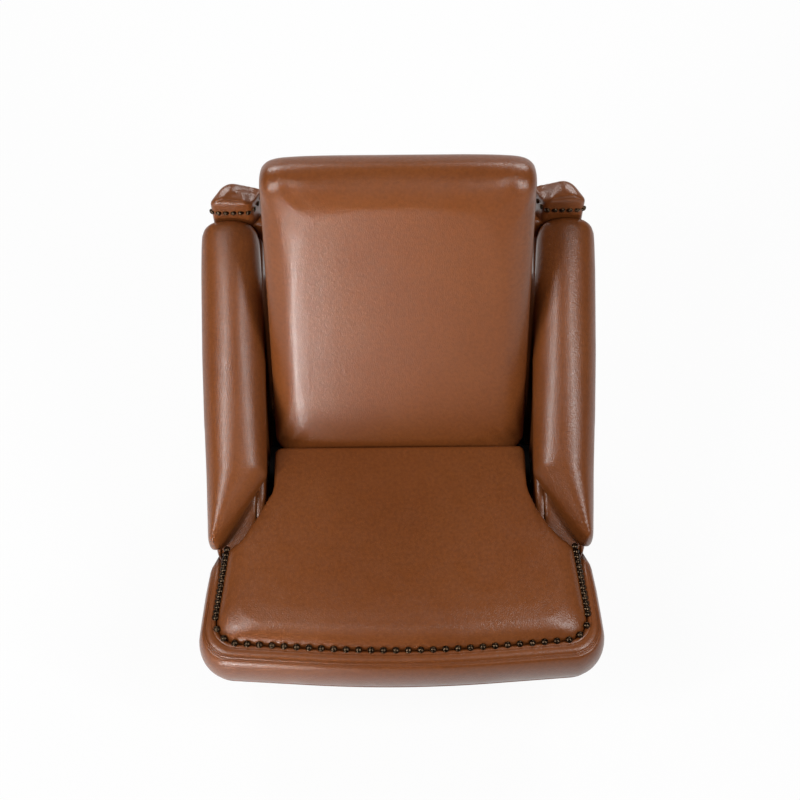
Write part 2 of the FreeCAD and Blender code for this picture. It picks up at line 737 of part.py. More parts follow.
def build_seat_border():
    """Loft the padded border round the seat's head and cut out the place of the cushion."""
    plan = head_plan(measure("seat_half"), measure("ear_half"), 0.0, measure("front_corner"))
    roll = measure("border_roll")
    low = measure(RAIL_TOP)
    tall = measure("border_height")
    heights = (
        (low, roll),
        (low + tall / 6, roll / 4),
        (low + tall / 2, 0.0),
        (low + tall * 3 / 4, roll / 6),
        (low + tall * 7 / 8, roll / 2),
        (low + tall, roll),
    )
    wires = [rounded_wire(inset_corners(plan, inset), level(height)) for height, inset in heights]
    band = Part.makeLoft(wires, True, True)
    hollow = head_corners()
    beyond = measure("ear_setback + border_side")
    for index in (0, 1):
        across, _, reach = hollow[index]
        hollow[index] = (across, beyond, reach)
    room = Part.Face(rounded_wire(hollow, level(low - tall))).extrude(FreeCAD.Vector(0, 0, 3 * tall))
    form("seat_border", band.cut(room))


def build_mechanism():
    """Build the steel plates that carry the seat, with their shoes and pins."""
    ridge = "(hinge_pin_radius + boss_radius)"
    outline = (
        ("mech_nose", f"{KNEE_Z} - link_half_width"),
        ("knee_setback + 2 * link_half_width", f"{KNEE_Z} - link_half_width"),
        ("front_shoe_setback - shoe_length", "track_bottom"),
        ("mech_tail", "track_bottom"),
        ("mech_tail", RAIL_TOP),
        (f"{HINGE_Y} + {ridge}", RAIL_TOP),
        (f"{HINGE_Y} + boss_radius", HINGE_Z),
        (f"{HINGE_Y} + boss_radius / 2", f"{HINGE_Z} + boss_radius"),
        (f"{HINGE_Y} - boss_radius / 2", f"{HINGE_Z} + boss_radius"),
        (f"{HINGE_Y} - boss_radius", HINGE_Z),
        (f"{HINGE_Y} - {ridge}", RAIL_TOP),
        ("mech_nose", RAIL_TOP),
    )
    holes = (
        ("knee_setback", KNEE_Z, "link_pin_radius"),
        (HINGE_Y, HINGE_Z, "hinge_pin_radius"),
    )
    shoes = []
    hinge_pins = []
    knee_pins = []
    for side, name in SIDES:
        plate = side_board(f"mechanism_plate_{name}", side, outline, "rail_outer", PLATE_OUTER, holes)
        place(node(plate, f"mechanism_plate_{name}"))
        for setback in ("front_shoe_setback", "rear_shoe_setback"):
            corners = block_corners(
                f"{setback} - shoe_length / 2", f"{setback} + shoe_length / 2", SHOE_BOTTOM,
                f"{SHOE_BOTTOM} + {SHOE_HEIGHT}")
            shoe = side_board("slide_shoe", side, corners, PLATE_OUTER, "side_inner - track_wall - shoe_play")
            place(shoe)
            shoes.append(shoe)
        start, width = outward(side, "stile_outer", PLATE_OUTER)
        end = f"{start} + {width}"
        hinge_pins.append(rod("hinge_pin", start, end, f"{FRONT} + {HINGE_Y}", HINGE_Z, "hinge_pin_radius"))
        start, width = outward(side, "rail_outer", f"{INNER_LINK_X} + steel_thickness")
        end = f"{start} + {width}"
        knee_pins.append(rod("knee_pin", start, end, f"{FRONT} + knee_setback", KNEE_Z, "link_pin_radius"))
    group("slide_shoes", shoes)
    group("hinge_pins", hinge_pins)
    group("knee_pins", knee_pins)


def on_back(depth, height):
    """Turn a place on the leaning back, behind its front and up from its lower edge, into y and z."""
    return (
        f"({CREASE} + ({depth}) * cos(back_lean) + ({height}) * sin(back_lean))",
        f"(crease_height - ({depth}) * sin(back_lean) + ({height}) * cos(back_lean))",
    )


def lean(piece):
    """Stand a piece of the back at the crease, leaning as the back leans."""
    place(piece, y=f"{FRONT} + {CREASE}", z="crease_height", turn="-back_lean")


def build_back():
    """Build the reclining back: stiles, rails, webbing, hinge arms, rear cover and cushion."""
    rear_top = f"{FRAME_FRONT} + stile_top_depth"
    rear_foot = f"{FRAME_FRONT} + stile_foot_depth"
    stile = (
        (FRAME_FRONT, "stile_foot"),
        (rear_foot, "stile_foot"),
        (rear_top, STILE_TOP),
        (FRAME_FRONT, STILE_TOP),
    )
    arm = (
        (f"{HINGE_Y} - boss_radius", HINGE_Z),
        (f"{HINGE_Y} - boss_radius / 2", f"{HINGE_Z} - boss_radius"),
        (f"{HINGE_Y} + boss_radius / 2", f"{HINGE_Z} - boss_radius"),
        on_back(f"{rear_foot} - boss_radius", "0"),
        on_back(f"{rear_foot} - boss_radius", "stile_foot"),
        on_back(f"{FRAME_FRONT} + 3 * boss_radius", "stile_foot + 8 * boss_radius"),
        on_back(f"{FRAME_FRONT} + boss_radius", "stile_foot + 8 * boss_radius"),
        on_back(f"{FRAME_FRONT} + boss_radius / 2", "-boss_radius / 2"),
        (f"{HINGE_Y} - boss_radius / 2", f"{HINGE_Z} + boss_radius"),
    )
    eye = ((HINGE_Y, HINGE_Z, "hinge_pin_radius + pin_play"),)
    for side, name in SIDES:
        post = side_board(f"back_stile_{name}", side, stile, "stile_outer - stile_width", "stile_outer")
        lean(node(post, f"back_stile_{name}"))
        arm_outer = "stile_outer + steel_thickness"
        plate = side_board(f"hinge_arm_{name}", side, arm, "stile_outer", arm_outer, eye)
        place(node(plate, f"hinge_arm_{name}"))
    inside = "(stile_outer - stile_width)"
    rail_rear = f"{FRAME_FRONT} + back_rail_thickness"
    rails = (
        ("back_bottom_rail", "stile_foot", "stile_foot + back_rail_height"),
        ("back_top_rail", f"{STILE_TOP} - back_rail_height", STILE_TOP),
    )
    for name, low, high in rails:
        corners = block_corners(FRAME_FRONT, rail_rear, low, high)
        lean(node(board(name, corners, f"-{inside}", f"2 * {inside}"), name))
    straps = []
    front = f"{FRAME_FRONT} - webbing_thickness"
    for index in range(BACK_STRAPS):
        low = f"stile_foot + back_rail_height + {index} * back_webbing_pitch"
        corners = block_corners(front, FRAME_FRONT, low, f"{low} + webbing_width")
        strap = board("back_strap", corners, "-stile_outer", "2 * stile_outer")
        lean(strap)
        straps.append(strap)
    group("back_webbing", straps)
    cover = (
        (f"{rear_foot} + seat_gap", "stile_foot"),
        (f"{rear_foot} + seat_gap + rear_cover_thickness", "stile_foot"),
        (f"{rear_top} + seat_gap + rear_cover_thickness", STILE_TOP),
        (f"{rear_top} + seat_gap", STILE_TOP),
    )
    lean(node(board("rear_cover", cover, "-back_half", "2 * back_half"), "rear_cover"))
    piece = form("back_cushion", back_cushion_shape())
    lean(piece)


def back_cushion_shape():
    """Loft the back cushion across its width: crowned front, rolled top, drawn-in sides."""
    half = measure("back_half")
    pull = measure("back_side_pull")
    stations = ((half, pull), (half - pull / 2, pull / 4), (half - 2 * pull, 0.0))
    wires = [back_section(across, inset) for across, inset in stations]
    wires += [back_section(-across, inset) for across, inset in reversed(stations)]
    return Part.makeLoft(wires, True, True)


def back_section(across, inset):
    """Return the outline of the back cushion seen from the side, drawn in by an inset."""
    crown = measure("back_crown")
    length = measure("back_length")
    radius = measure("roll_radius")
    rear = measure("back_cushion_thickness")
    lip = measure(f"{STILE_TOP} + seat_gap")
    top = length + radius - inset
    diagonal = (1 - math.sqrt(0.5)) * (radius - inset)

    def spot(depth, height):
        return FreeCAD.Vector(across, depth, height)

    brow = spot(inset, length)
    crest = spot(radius, top)
    nape = spot(2 * radius - inset, length)
    foot = spot(crown + inset, inset)
    heel = spot(rear, inset)
    edges = [
        Part.Arc(foot, spot(inset / 2, length * BELLY_SHARE), brow),
        Part.Arc(brow, spot(inset + diagonal, top - diagonal), crest),
        Part.Arc(crest, spot(2 * radius - inset - diagonal, top - diagonal), nape),
        Part.LineSegment(nape, spot(2 * radius - inset, lip)),
        Part.LineSegment(spot(2 * radius - inset, lip), spot(rear, lip)),
        Part.LineSegment(spot(rear, lip), heel),
        Part.LineSegment(heel, foot),
    ]
    return Part.Wire([edge.toShape() for edge in edges])


def build_footrest():
    """Build the folding links and the footrest that they carry."""
    elbow_pins = []
    toe_pins = []
    bracket_rear = "link_half_width"
    bracket = (
        ("-panel_reach", "-3 * link_half_width"),
        (f"{bracket_rear} / 2", f"-{bracket_rear}"),
        (bracket_rear, "0"),
        (f"{bracket_rear} / 2", bracket_rear),
        ("-panel_reach", "5 * link_half_width"),
    )
    eye = (("0", "0", "link_pin_radius"),)
    for side, name in SIDES:
        inner = link_bar(f"inner_link_{name}", side, "inner_link", INNER_LINK_X)
        place(node(inner, f"inner_link_{name}"), y=f"{FRONT} + knee_setback", z=KNEE_Z, turn="-inner_fold")
        outer = link_bar(f"outer_link_{name}", side, "outer_link", OUTER_LINK_X)
        place(node(outer, f"outer_link_{name}"), y=f"{FRONT} + {TOE_Y}", z=ELBOW_Z, turn="0")
        start, width = outward(side, INNER_LINK_X, f"{OUTER_LINK_X} + steel_thickness")
        elbow_pins.append(
            rod("elbow_pin", start, f"{start} + {width}", f"{FRONT} + {ELBOW_Y}", ELBOW_Z, "link_pin_radius"))
        toe_pins.append(
            rod("toe_pin", start, f"{start} + {width}", f"{FRONT} + {TOE_Y}", ELBOW_Z, "link_pin_radius"))
        ear = side_board(
            f"footrest_bracket_{name}", side, bracket, INNER_LINK_X, f"{INNER_LINK_X} + steel_thickness", eye)
        slant(node(ear, f"footrest_bracket_{name}"))
    group("elbow_pins", elbow_pins)
    group("toe_pins", toe_pins)
    corners = block_corners("-panel_reach - panel_board", "-panel_reach", "-panel_below", "panel_above")
    slant(node(board("footrest_board", corners, "-panel_half", "2 * panel_half"), "footrest_board"))
    slant(form("footrest_pad", footrest_pad_shape()))


def slant(piece):
    """Stand a piece of the footrest at the toe pivot, slanted as the closed footrest is."""
    place(piece, y=f"{FRONT} + {TOE_Y}", z=ELBOW_Z, turn="panel_slant")


def footrest_pad_shape():
    """Loft the footrest pad from its board outwards, drawn in towards its face."""
    half = measure("panel_half")
    soft = measure("panel_softness")
    rear = measure("-panel_reach - panel_board - seat_gap")
    thick = measure("panel_pad")
    plan = [
        (half, -measure("panel_below"), 2 * soft),
        (half, measure("panel_above"), 2 * soft),
        (-half, measure("panel_above"), 2 * soft),
        (-half, -measure("panel_below"), 2 * soft),
    ]
    depths = ((0.0, 0.0), (0.6, 0.0), (0.85, soft / 2), (0.95, soft * 1.5), (1.0, soft * 3))
    wires = []
    for share, inset in depths:
        depth = rear - share * thick
        wires.append(rounded_wire(
            inset_corners(plan, inset), lambda spot, back=depth: FreeCAD.Vector(spot.x, back, spot.y)))
    return Part.makeLoft(wires, True, True)


def hand_over():
    """Check every object of the document, then write each node's solids."""
    doc.recompute()
    for item in doc.Objects:
        if {"Invalid", "Error"} & set(item.State):
            raise RuntimeError(f"{item.Label} failed: {item.State}")
    os.makedirs("parts", exist_ok=True)
    for piece in nodes:
        shape = piece.Shape
        if shape.isNull() or not shape.isValid():
            raise RuntimeError(f"{piece.Label} has no valid shape")
        shape.exportStep(f"parts/{piece.Label}.step")
    print(len(nodes), "nodes")


fill_sheet()
for side_sign, side_name in SIDES:
    build_side(side_sign, side_name)
build_legs()
build_cross_pieces()
build_seat_frame()
build_seat_cushion()
build_seat_border()
build_mechanism()
build_back()
build_footrest()
hand_over()
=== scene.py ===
"""Leather push-back recliner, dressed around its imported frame.

Metres, +Z up, the front of the chair towards -Y. "Setback" runs backwards from the front of the seat.
"""
import json
import logging
import math
from dataclasses import dataclass, field
from enum import Enum
from typing import Callable, Iterable, Sequence

import bmesh
import bpy
from mathutils import Matrix, Vector


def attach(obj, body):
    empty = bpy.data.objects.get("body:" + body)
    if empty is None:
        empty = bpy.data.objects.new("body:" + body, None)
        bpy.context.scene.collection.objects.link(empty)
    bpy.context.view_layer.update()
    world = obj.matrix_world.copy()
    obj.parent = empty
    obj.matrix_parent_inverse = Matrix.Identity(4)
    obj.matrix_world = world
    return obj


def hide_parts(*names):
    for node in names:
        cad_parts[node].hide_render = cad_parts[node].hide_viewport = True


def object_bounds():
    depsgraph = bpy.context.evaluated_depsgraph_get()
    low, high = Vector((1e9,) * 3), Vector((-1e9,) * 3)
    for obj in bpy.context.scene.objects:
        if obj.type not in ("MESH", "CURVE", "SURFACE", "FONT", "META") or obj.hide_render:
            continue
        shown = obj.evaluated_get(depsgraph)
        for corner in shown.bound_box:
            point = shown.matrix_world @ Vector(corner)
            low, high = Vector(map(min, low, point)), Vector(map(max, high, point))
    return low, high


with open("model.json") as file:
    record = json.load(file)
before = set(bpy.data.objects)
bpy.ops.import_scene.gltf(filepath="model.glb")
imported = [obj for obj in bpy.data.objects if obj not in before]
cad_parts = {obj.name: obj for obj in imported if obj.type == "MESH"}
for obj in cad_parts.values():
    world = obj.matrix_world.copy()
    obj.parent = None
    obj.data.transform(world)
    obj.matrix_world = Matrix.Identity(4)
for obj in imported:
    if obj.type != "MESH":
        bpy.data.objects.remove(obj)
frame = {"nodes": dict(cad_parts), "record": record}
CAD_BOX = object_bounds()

log = logging.getLogger("recliner")

FRONT = CAD_BOX[0][1]
ARC_STEPS = 6
# The most of a side that one corner's arc may take
ARC_SHARE = 0.46
# Radius of the covers' piping, and of the finer piping on the seat and the footrest
PIPING = 0.0034
FINE_PIPING = 0.0032
# Height of a nail's head against its radius
NAIL_DOME = 0.62
# A way that no seam runs along, from which the piping's rings are turned
OFF_SEAM = (0.31, 0.17, 0.93)

Corner = tuple[float, float, float]
Lift = Callable[[Vector, float], Vector]
Color = tuple[float, float, float, float]


class Side(Enum):
    """The two sides of the chair, as the sign of X."""

    LEFT = -1
    RIGHT = 1

    @property
    def word(self) -> str:
        """Name the side as the nodes do."""
        return self.name.lower()


class Slot(Enum):
    """The record's material slots."""

    LEATHER = "cognac_leather"
    FRAME_WOOD = "frame_wood"
    LEG_WOOD = "leg_wood"
    BLACK_STEEL = "black_steel"
    PIN_STEEL = "pin_steel"
    NYLON = "nylon"
    WEBBING = "webbing"
    FELT = "felt"


class Graph:
    """A material's node tree, with short ways to add and join nodes."""

    def __init__(self, name: str) -> None:
        """Start an empty material with a shader and an output.

        Args:
            name: Name of the material.
        """
        self.material = bpy.data.materials.new(name)
        self.material.use_nodes = True
        self.tree = self.material.node_tree
        self.shader = self.tree.nodes["Principled BSDF"]
        self.place = self.add("ShaderNodeTexCoord").outputs["Object"]

    def add(self, kind: str, **settings: object) -> bpy.types.Node:
        """Add a node and set its properties.

        Args:
            kind: Type of the node.
            settings: Properties of the node by name.

        Returns:
            The new node.
        """
        node = self.tree.nodes.new(kind)
        for key, value in settings.items():
            setattr(node, key, value)
        return node

    def join(self, source: object, target: object) -> None:
        """Link an output to an input."""
        self.tree.links.new(source, target)

    def stretch(self, scale: tuple[float, float, float]) -> object:
        """Return the object coordinates stretched by a scale.

        Args:
            scale: Factor along each axis.

        Returns:
            Output of the mapping node.
        """
        mapping = self.add("ShaderNodeMapping")
        mapping.inputs["Scale"].default_value = scale
        self.join(self.place, mapping.inputs["Vector"])
        return mapping.outputs["Vector"]

    def noise(self, scale: float, detail: float = 2.0, where: object = None) -> object:
        """Return a noise pattern.

        Args:
            scale: Patches per metre.
            detail: Octaves of the noise.
            where: Coordinates to read, the object's own if none.

        Returns:
            Output with values from 0 to 1.
        """
        node = self.add("ShaderNodeTexNoise")
        node.inputs["Scale"].default_value = scale
        node.inputs["Detail"].default_value = detail
        self.join(where or self.place, node.inputs["Vector"])
        return node.outputs["Fac"]

    def cells(self, scale: float) -> object:
        """Return a cell pattern, such as the pebbles of grained leather.

        Args:
            scale: Cells per metre.

        Returns:
            Output with the distance to the nearest edge of a cell.
        """
        node = self.add("ShaderNodeTexVoronoi", feature="DISTANCE_TO_EDGE")
        node.inputs["Scale"].default_value = scale
        self.join(self.place, node.inputs["Vector"])
        return node.outputs["Distance"]

    def ramp(self, source: object, stops: Sequence[tuple[float, Color]]) -> object:
        """Colour a pattern.

        Args:
            source: Pattern from 0 to 1.
            stops: Positions and colours.

        Returns:
            The colour.
        """
        node = self.add("ShaderNodeValToRGB")
        elements = node.color_ramp.elements
        while len(elements) < len(stops):
            elements.new(0.5)
        for element, (position, color) in zip(elements, stops):
            element.position = position
            element.color = color
        self.join(source, node.inputs["Fac"])
        return node.outputs["Color"]

    def spread(self, source: object, low: float, high: float,
               start: float = 0.3, end: float = 0.7) -> object:
        """Map a pattern to a range.

        Args:
            source: The pattern.
            low: Result at start.
            high: Result at end.
            start: Pattern value that gives low.
            end: Pattern value that gives high.

        Returns:
            The mapped value.
        """
        node = self.add("ShaderNodeMapRange")
        for key, value in (("From Min", start), ("From Max", end), ("To Min", low), ("To Max", high)):
            node.inputs[key].default_value = value
        self.join(source, node.inputs["Value"])
        return node.outputs["Result"]

    def bump(self, heights: Sequence[tuple[object, float, float]]) -> None:
        """Raise the surface by patterns, one on top of the other.

        Args:
            heights: Pattern, height in metres and strength of each layer.
        """
        below = None
        for source, distance, strength in heights:
            node = self.add("ShaderNodeBump")
            node.inputs["Distance"].default_value = distance
            node.inputs["Strength"].default_value = strength
            self.join(source, node.inputs["Height"])
            if below is not None:
                self.join(below, node.inputs["Normal"])
            below = node.outputs["Normal"]
        self.join(below, self.shader.inputs["Normal"])

    def paint(self, color: object = None, roughness: object = None,
              **constants: float) -> bpy.types.Material:
        """Give the shader its colour, its roughness and its constant values.

        Args:
            color: Output or plain colour.
            roughness: Output or plain number.
            constants: Shader inputs by name, with _ for spaces.

        Returns:
            The finished material.
        """
        for key, value in (("Base Color", color), ("Roughness", roughness)):
            if isinstance(value, (tuple, float)):
                self.shader.inputs[key].default_value = value
            elif value is not None:
                self.join(value, self.shader.inputs[key])
        for key, value in constants.items():
            self.shader.inputs[key.replace("_", " ")].default_value = value
        return self.material


@dataclass(frozen=True)
class GrainedLeather:
    """Cognac leather: pebbled grain, fine creases, worn and dark patches, satin gloss."""

    name: str = "cognac_leather"
    color: Color = (0.182, 0.052, 0.0120, 1.0)
    dark: Color = (0.170, 0.047, 0.0105, 1.0)
    worn: Color = (0.192, 0.057, 0.0140, 1.0)
    pebbles: float = 260.0
    gloss: tuple[float, float] = (0.285, 0.36)
    specular: float = 0.42
    coat: float = 0.06
    coat_gloss: float = 0.20
    grime: Color = (0.50, 0.46, 0.42, 1.0)
    grime_share: float = 0.40

    def material(self) -> bpy.types.Material:
        """Make the leather."""
        graph = Graph(self.name)
        clouds = graph.noise(5.5, 4.0)
        mottle = graph.noise(150.0, 6.0)
        color = graph.ramp(clouds, ((0.30, self.dark), (0.50, self.color), (0.72, self.worn)))
        fleck = graph.add("ShaderNodeMixRGB", blend_type="MULTIPLY")
        fleck.inputs["Fac"].default_value = self.grime_share
        graph.join(color, fleck.inputs["Color1"])
        tint = graph.ramp(mottle, ((0.30, self.grime), (0.64, (1, 1, 1, 1))))
        graph.join(tint, fleck.inputs["Color2"])
        pebble = graph.spread(graph.cells(self.pebbles), 0.0, 1.0, 0.0, 0.32)
        crease = graph.noise(150.0, 6.0)
        sway = graph.noise(16.0, 3.0)
        graph.bump(((sway, 0.0014, 0.20), (crease, 0.0010, 0.30), (pebble, 0.0004, 0.36)))
        roughness = graph.spread(graph.noise(28.0, 3.0), *self.gloss)
        return graph.paint(
            fleck.outputs["Color"], roughness, Specular_IOR_Level=self.specular, Coat_Weight=self.coat,
            Coat_Roughness=self.coat_gloss)


@dataclass(frozen=True)
class AgedBronze:
    """Antique bronze of the nail heads, dark with bare high spots."""

    name: str = "aged_bronze"
    color: Color = (0.085, 0.054, 0.032, 1.0)
    dark: Color = (0.022, 0.014, 0.009, 1.0)

    def material(self) -> bpy.types.Material:
        """Make the bronze."""
        graph = Graph(self.name)
        patina = graph.noise(260.0, 4.0)
        color = graph.ramp(patina, ((0.35, self.dark), (0.65, self.color)))
        graph.bump(((graph.noise(700.0, 3.0), 0.0002, 0.25),))
        return graph.paint(color, graph.spread(patina, 0.22, 0.42), Metallic=1.0)


@dataclass(frozen=True)
class GrainedWood:
    """Sawn and planed wood with growth rings along one axis."""

    name: str
    color: Color
    dark: Color
    stretch: tuple[float, float, float]
    gloss: tuple[float, float] = (0.45, 0.62)

    def material(self) -> bpy.types.Material:
        """Make the wood."""
        graph = Graph(self.name)
        along = graph.stretch(self.stretch)
        rings = graph.noise(9.0, 5.0, along)
        pores = graph.noise(90.0, 3.0, along)
        bands = ((0.34, self.dark), (0.48, self.color), (0.60, self.dark), (0.72, self.color))
        color = graph.ramp(rings, bands)
        graph.bump(((rings, 0.0005, 0.2), (pores, 0.0003, 0.3)))
        return graph.paint(color, graph.spread(pores, *self.gloss))


@dataclass(frozen=True)
class CoatedMetal:
    """Metal with a coat or a plating, slightly uneven."""

    name: str
    color: Color
    edge: Color
    metallic: float
    gloss: tuple[float, float]

    def material(self) -> bpy.types.Material:
        """Make the metal."""
        graph = Graph(self.name)
        cloud = graph.noise(35.0, 4.0)
        color = graph.ramp(cloud, ((0.35, self.color), (0.70, self.edge)))
        graph.bump(((graph.noise(900.0, 2.0), 0.0001, 0.3),))
        return graph.paint(color, graph.spread(cloud, *self.gloss), Metallic=self.metallic)


@dataclass(frozen=True)
class WovenStrap:
    """Elastic webbing: ribs across and a coloured stripe of yarn."""

    name: str = "woven_strap"
    color: Color = (0.030, 0.028, 0.026, 1.0)
    yarn: Color = (0.150, 0.120, 0.080, 1.0)

    def material(self) -> bpy.types.Material:
        """Make the webbing."""
        graph = Graph(self.name)
        ribs = graph.add("ShaderNodeTexWave", bands_direction="DIAGONAL")
        ribs.inputs["Scale"].default_value = 160.0
        ribs.inputs["Distortion"].default_value = 0.6
        graph.join(graph.place, ribs.inputs["Vector"])
        color = graph.ramp(ribs.outputs["Fac"], ((0.30, self.color), (0.75, self.yarn)))
        graph.bump(((ribs.outputs["Fac"], 0.0006, 0.5),))
        return graph.paint(color, 0.82)


@dataclass(frozen=True)
class PressedFelt:
    """Grey deck felt with loose fibres."""

    name: str = "pressed_felt"
    color: Color = (0.21, 0.20, 0.19, 1.0)
    fleck: Color = (0.10, 0.10, 0.11, 1.0)

    def material(self) -> bpy.types.Material:
        """Make the felt."""
        graph = Graph(self.name)
        fibre = graph.noise(380.0, 6.0)
        color = graph.ramp(fibre, ((0.38, self.fleck), (0.62, self.color)))
        graph.bump(((fibre, 0.0010, 0.6),))
        return graph.paint(color, 0.95)


@dataclass(frozen=True)
class DustCloth:
    """Thin black cloth tacked under the frame."""

    name: str = "dust_cloth"
    color: Color = (0.012, 0.012, 0.013, 1.0)
    thread: Color = (0.030, 0.030, 0.032, 1.0)

    def material(self) -> bpy.types.Material:
        """Make the cloth."""
        graph = Graph(self.name)
        fibre = graph.noise(520.0, 5.0)
        color = graph.ramp(fibre, ((0.40, self.color), (0.64, self.thread)))
        graph.bump(((fibre, 0.0004, 0.5),))
        return graph.paint(color, 0.9)


class Finishes:
    """Every finish of the chair, made once."""

    def __init__(self) -> None:
        """Make the materials of all the slots and of the nails."""
        pine = GrainedWood("frame_wood", (0.56, 0.36, 0.18, 1), (0.42, 0.25, 0.115, 1), (1.0, 0.12, 1.0))
        walnut = GrainedWood(
            "leg_wood", (0.060, 0.026, 0.012, 1), (0.024, 0.010, 0.005, 1), (1.0, 1.0, 0.10), (0.28, 0.40))
        black = CoatedMetal(
            "black_steel", (0.016, 0.016, 0.017, 1), (0.030, 0.029, 0.028, 1), 0.0, (0.34, 0.5))
        zinc = CoatedMetal("pin_steel", (0.52, 0.52, 0.50, 1), (0.64, 0.63, 0.60, 1), 1.0, (0.24, 0.4))
        nylon = CoatedMetal("nylon", (0.62, 0.60, 0.55, 1), (0.70, 0.68, 0.63, 1), 0.0, (0.36, 0.5))
        self.by_slot: dict[Slot, bpy.types.Material] = {
            Slot.LEATHER: GrainedLeather().material(),
            Slot.FRAME_WOOD: pine.material(),
            Slot.LEG_WOOD: walnut.material(),
            Slot.BLACK_STEEL: black.material(),
            Slot.PIN_STEEL: zinc.material(),
            Slot.NYLON: nylon.material(),
            Slot.WEBBING: WovenStrap().material(),
            Slot.FELT: PressedFelt().material(),
        }
        self.bronze = AgedBronze().material()

    def dress_frame(self) -> None:
        """Give every node of the frame the finish of its slot."""
        for part in frame["record"]["subparts"]:
            piece = frame["nodes"][part["node"]]
            piece.data.materials.clear()
            piece.data.materials.append(self.by_slot[Slot(part["material_slot"])])


def spot(x: float, setback: float, z: float) -> Vector:
    """Return a place in the frame from its setback behind the front of the seat."""
    return Vector((x, FRONT + setback, z))


def panel(half: float, low: float, high: float, reach: float, top_reach: float = None) -> list[Corner]:
    """Return the corners of a panel about the middle of the chair.

    Args:
        half: Half its width.
        low: Its lower or front edge.
        high: Its upper or rear edge.
        reach: Reach of the rounding of its corners.
        top_reach: Reach at the upper corners, if it differs.

    Returns:
        Corners, anticlockwise.
    """
    top = reach if top_reach is None else top_reach
    return [(-half, low, reach), (half, low, reach), (half, high, top), (-half, high, top)]


def inset(corners: Sequence[Corner], distance: float) -> list[Corner]:
    """Move every side of an outline, given anticlockwise, inwards.

    Args:
        corners: Corners with the reach of their rounding.
        distance: How far the sides move.

    Returns:
        The moved corners.
    """
    moved = []
    count = len(corners)
    for index, (u, v, reach) in enumerate(corners):
        here = Vector((u, v))
        come = (here - Vector(corners[index - 1][:2])).normalized()
        leave = (Vector(corners[(index + 1) % count][:2]) - here).normalized()
        turn = come.x * leave.y - come.y * leave.x
        shift = (leave - come) * (distance / turn)
        moved.append((u + shift.x, v + shift.y, reach))
    return moved


def rounded(corners: Sequence[Corner], steps: int = ARC_STEPS) -> list[Vector]:
    """Trace a closed outline whose corners are round.

    Args:
        corners: Corners with the reach of their rounding.
        steps: Pieces in each corner's arc.

    Returns:
        Points round the outline, as many at each corner.
    """
    points = []
    count = len(corners)
    for index, (u, v, reach) in enumerate(corners):
        here = Vector((u, v))
        behind = Vector(corners[index - 1][:2]) - here
        ahead = Vector(corners[(index + 1) % count][:2]) - here
        cut = min(reach, ARC_SHARE * behind.length, ARC_SHARE * ahead.length)
        start = here + behind.normalized() * cut
        end = here + ahead.normalized() * cut
        weight = math.sin(behind.angle(ahead) / 2)
        for step in range(steps + 1):
            share = step / steps
            a, b, c = (1 - share) ** 2, 2 * share * (1 - share) * weight, share ** 2
            points.append((start * a + here * b + end * c) / (a + b + c))
    return points


def loft(bm: bmesh.types.BMesh, loops: Sequence[Sequence[Vector]], ring: bool = False) -> None:
    """Bridge a row of closed loops and close its ends.

    Args:
        bm: Mesh to add to.
        loops: Loops of as many points each.
        ring: Whether the last loop meets the first instead of being closed.
    """
    edges = []
    for points in loops:
        verts = [bm.verts.new(point) for point in points]
        edges.append([bm.edges.new((verts[index - 1], verts[index])) for index in range(len(verts))])
    pairs = list(zip(edges, edges[1:]))
    if ring:
        pairs.append((edges[-1], edges[0]))
    for first, second in pairs:
        bmesh.ops.bridge_loops(bm, edges=first + second)
    if not ring:
        for end in (edges[0], edges[-1]):
            bmesh.ops.edgeloop_fill(bm, edges=end)
    bmesh.ops.recalc_face_normals(bm, faces=bm.faces)


def pillow_loops(corners: Sequence[Corner], levels: Sequence[tuple[float, float]],
                 lift: Lift) -> list[list[Vector]]:
    """Stack insets of one outline.

    Args:
        corners: Outline, anticlockwise.
        levels: Height and inset of each loop.
        lift: Turns a point of the outline and a height into a place.

    Returns:
        The loops, lowest first.
    """
    return [[lift(point, height) for point in rounded(inset(corners, shrink))] for height, shrink in levels]


def tube_loops(path: Sequence[Vector], radius: float, closed: bool, sides: int = 8) -> list[list[Vector]]:
    """Draw rings along a path.

    Args:
        path: Points of the middle line.
        radius: Radius of the tube.
        closed: Whether the path meets itself.
        sides: Points in a ring.

    Returns:
        One ring for each point of the path.
    """
    loops = []
    count = len(path)
    for index, here in enumerate(path):
        before = path[index - 1] if index or closed else here
        after = path[(index + 1) % count] if index + 1 < count or closed else here
        along = (after - before).normalized()
        across = along.cross(Vector(OFF_SEAM)).normalized()
        up = across.cross(along)
        turns = (2 * math.pi * side / sides for side in range(sides))
        loops.append([here + (across * math.cos(turn) + up * math.sin(turn)) * radius for turn in turns])
    return loops


def spaced(path: Sequence[Vector], pitch: float) -> list[Vector]:
    """Divide a path into equal steps.

    Args:
        path: Points of the path.
        pitch: Length of a step, about.

    Returns:
        The points, both ends included.
    """
    lengths = [(after - before).length for before, after in zip(path, path[1:])]
    count = max(1, round(sum(lengths) / pitch))
    step = sum(lengths) / count
    points = [path[0].copy()]
    travelled = 0.0
    for before, after, length in zip(path, path[1:], lengths):
        while len(points) < count and travelled + length >= step * len(points):
            points.append(before.lerp(after, (step * len(points) - travelled) / length))
        travelled += length
    points.append(path[-1].copy())
    return points


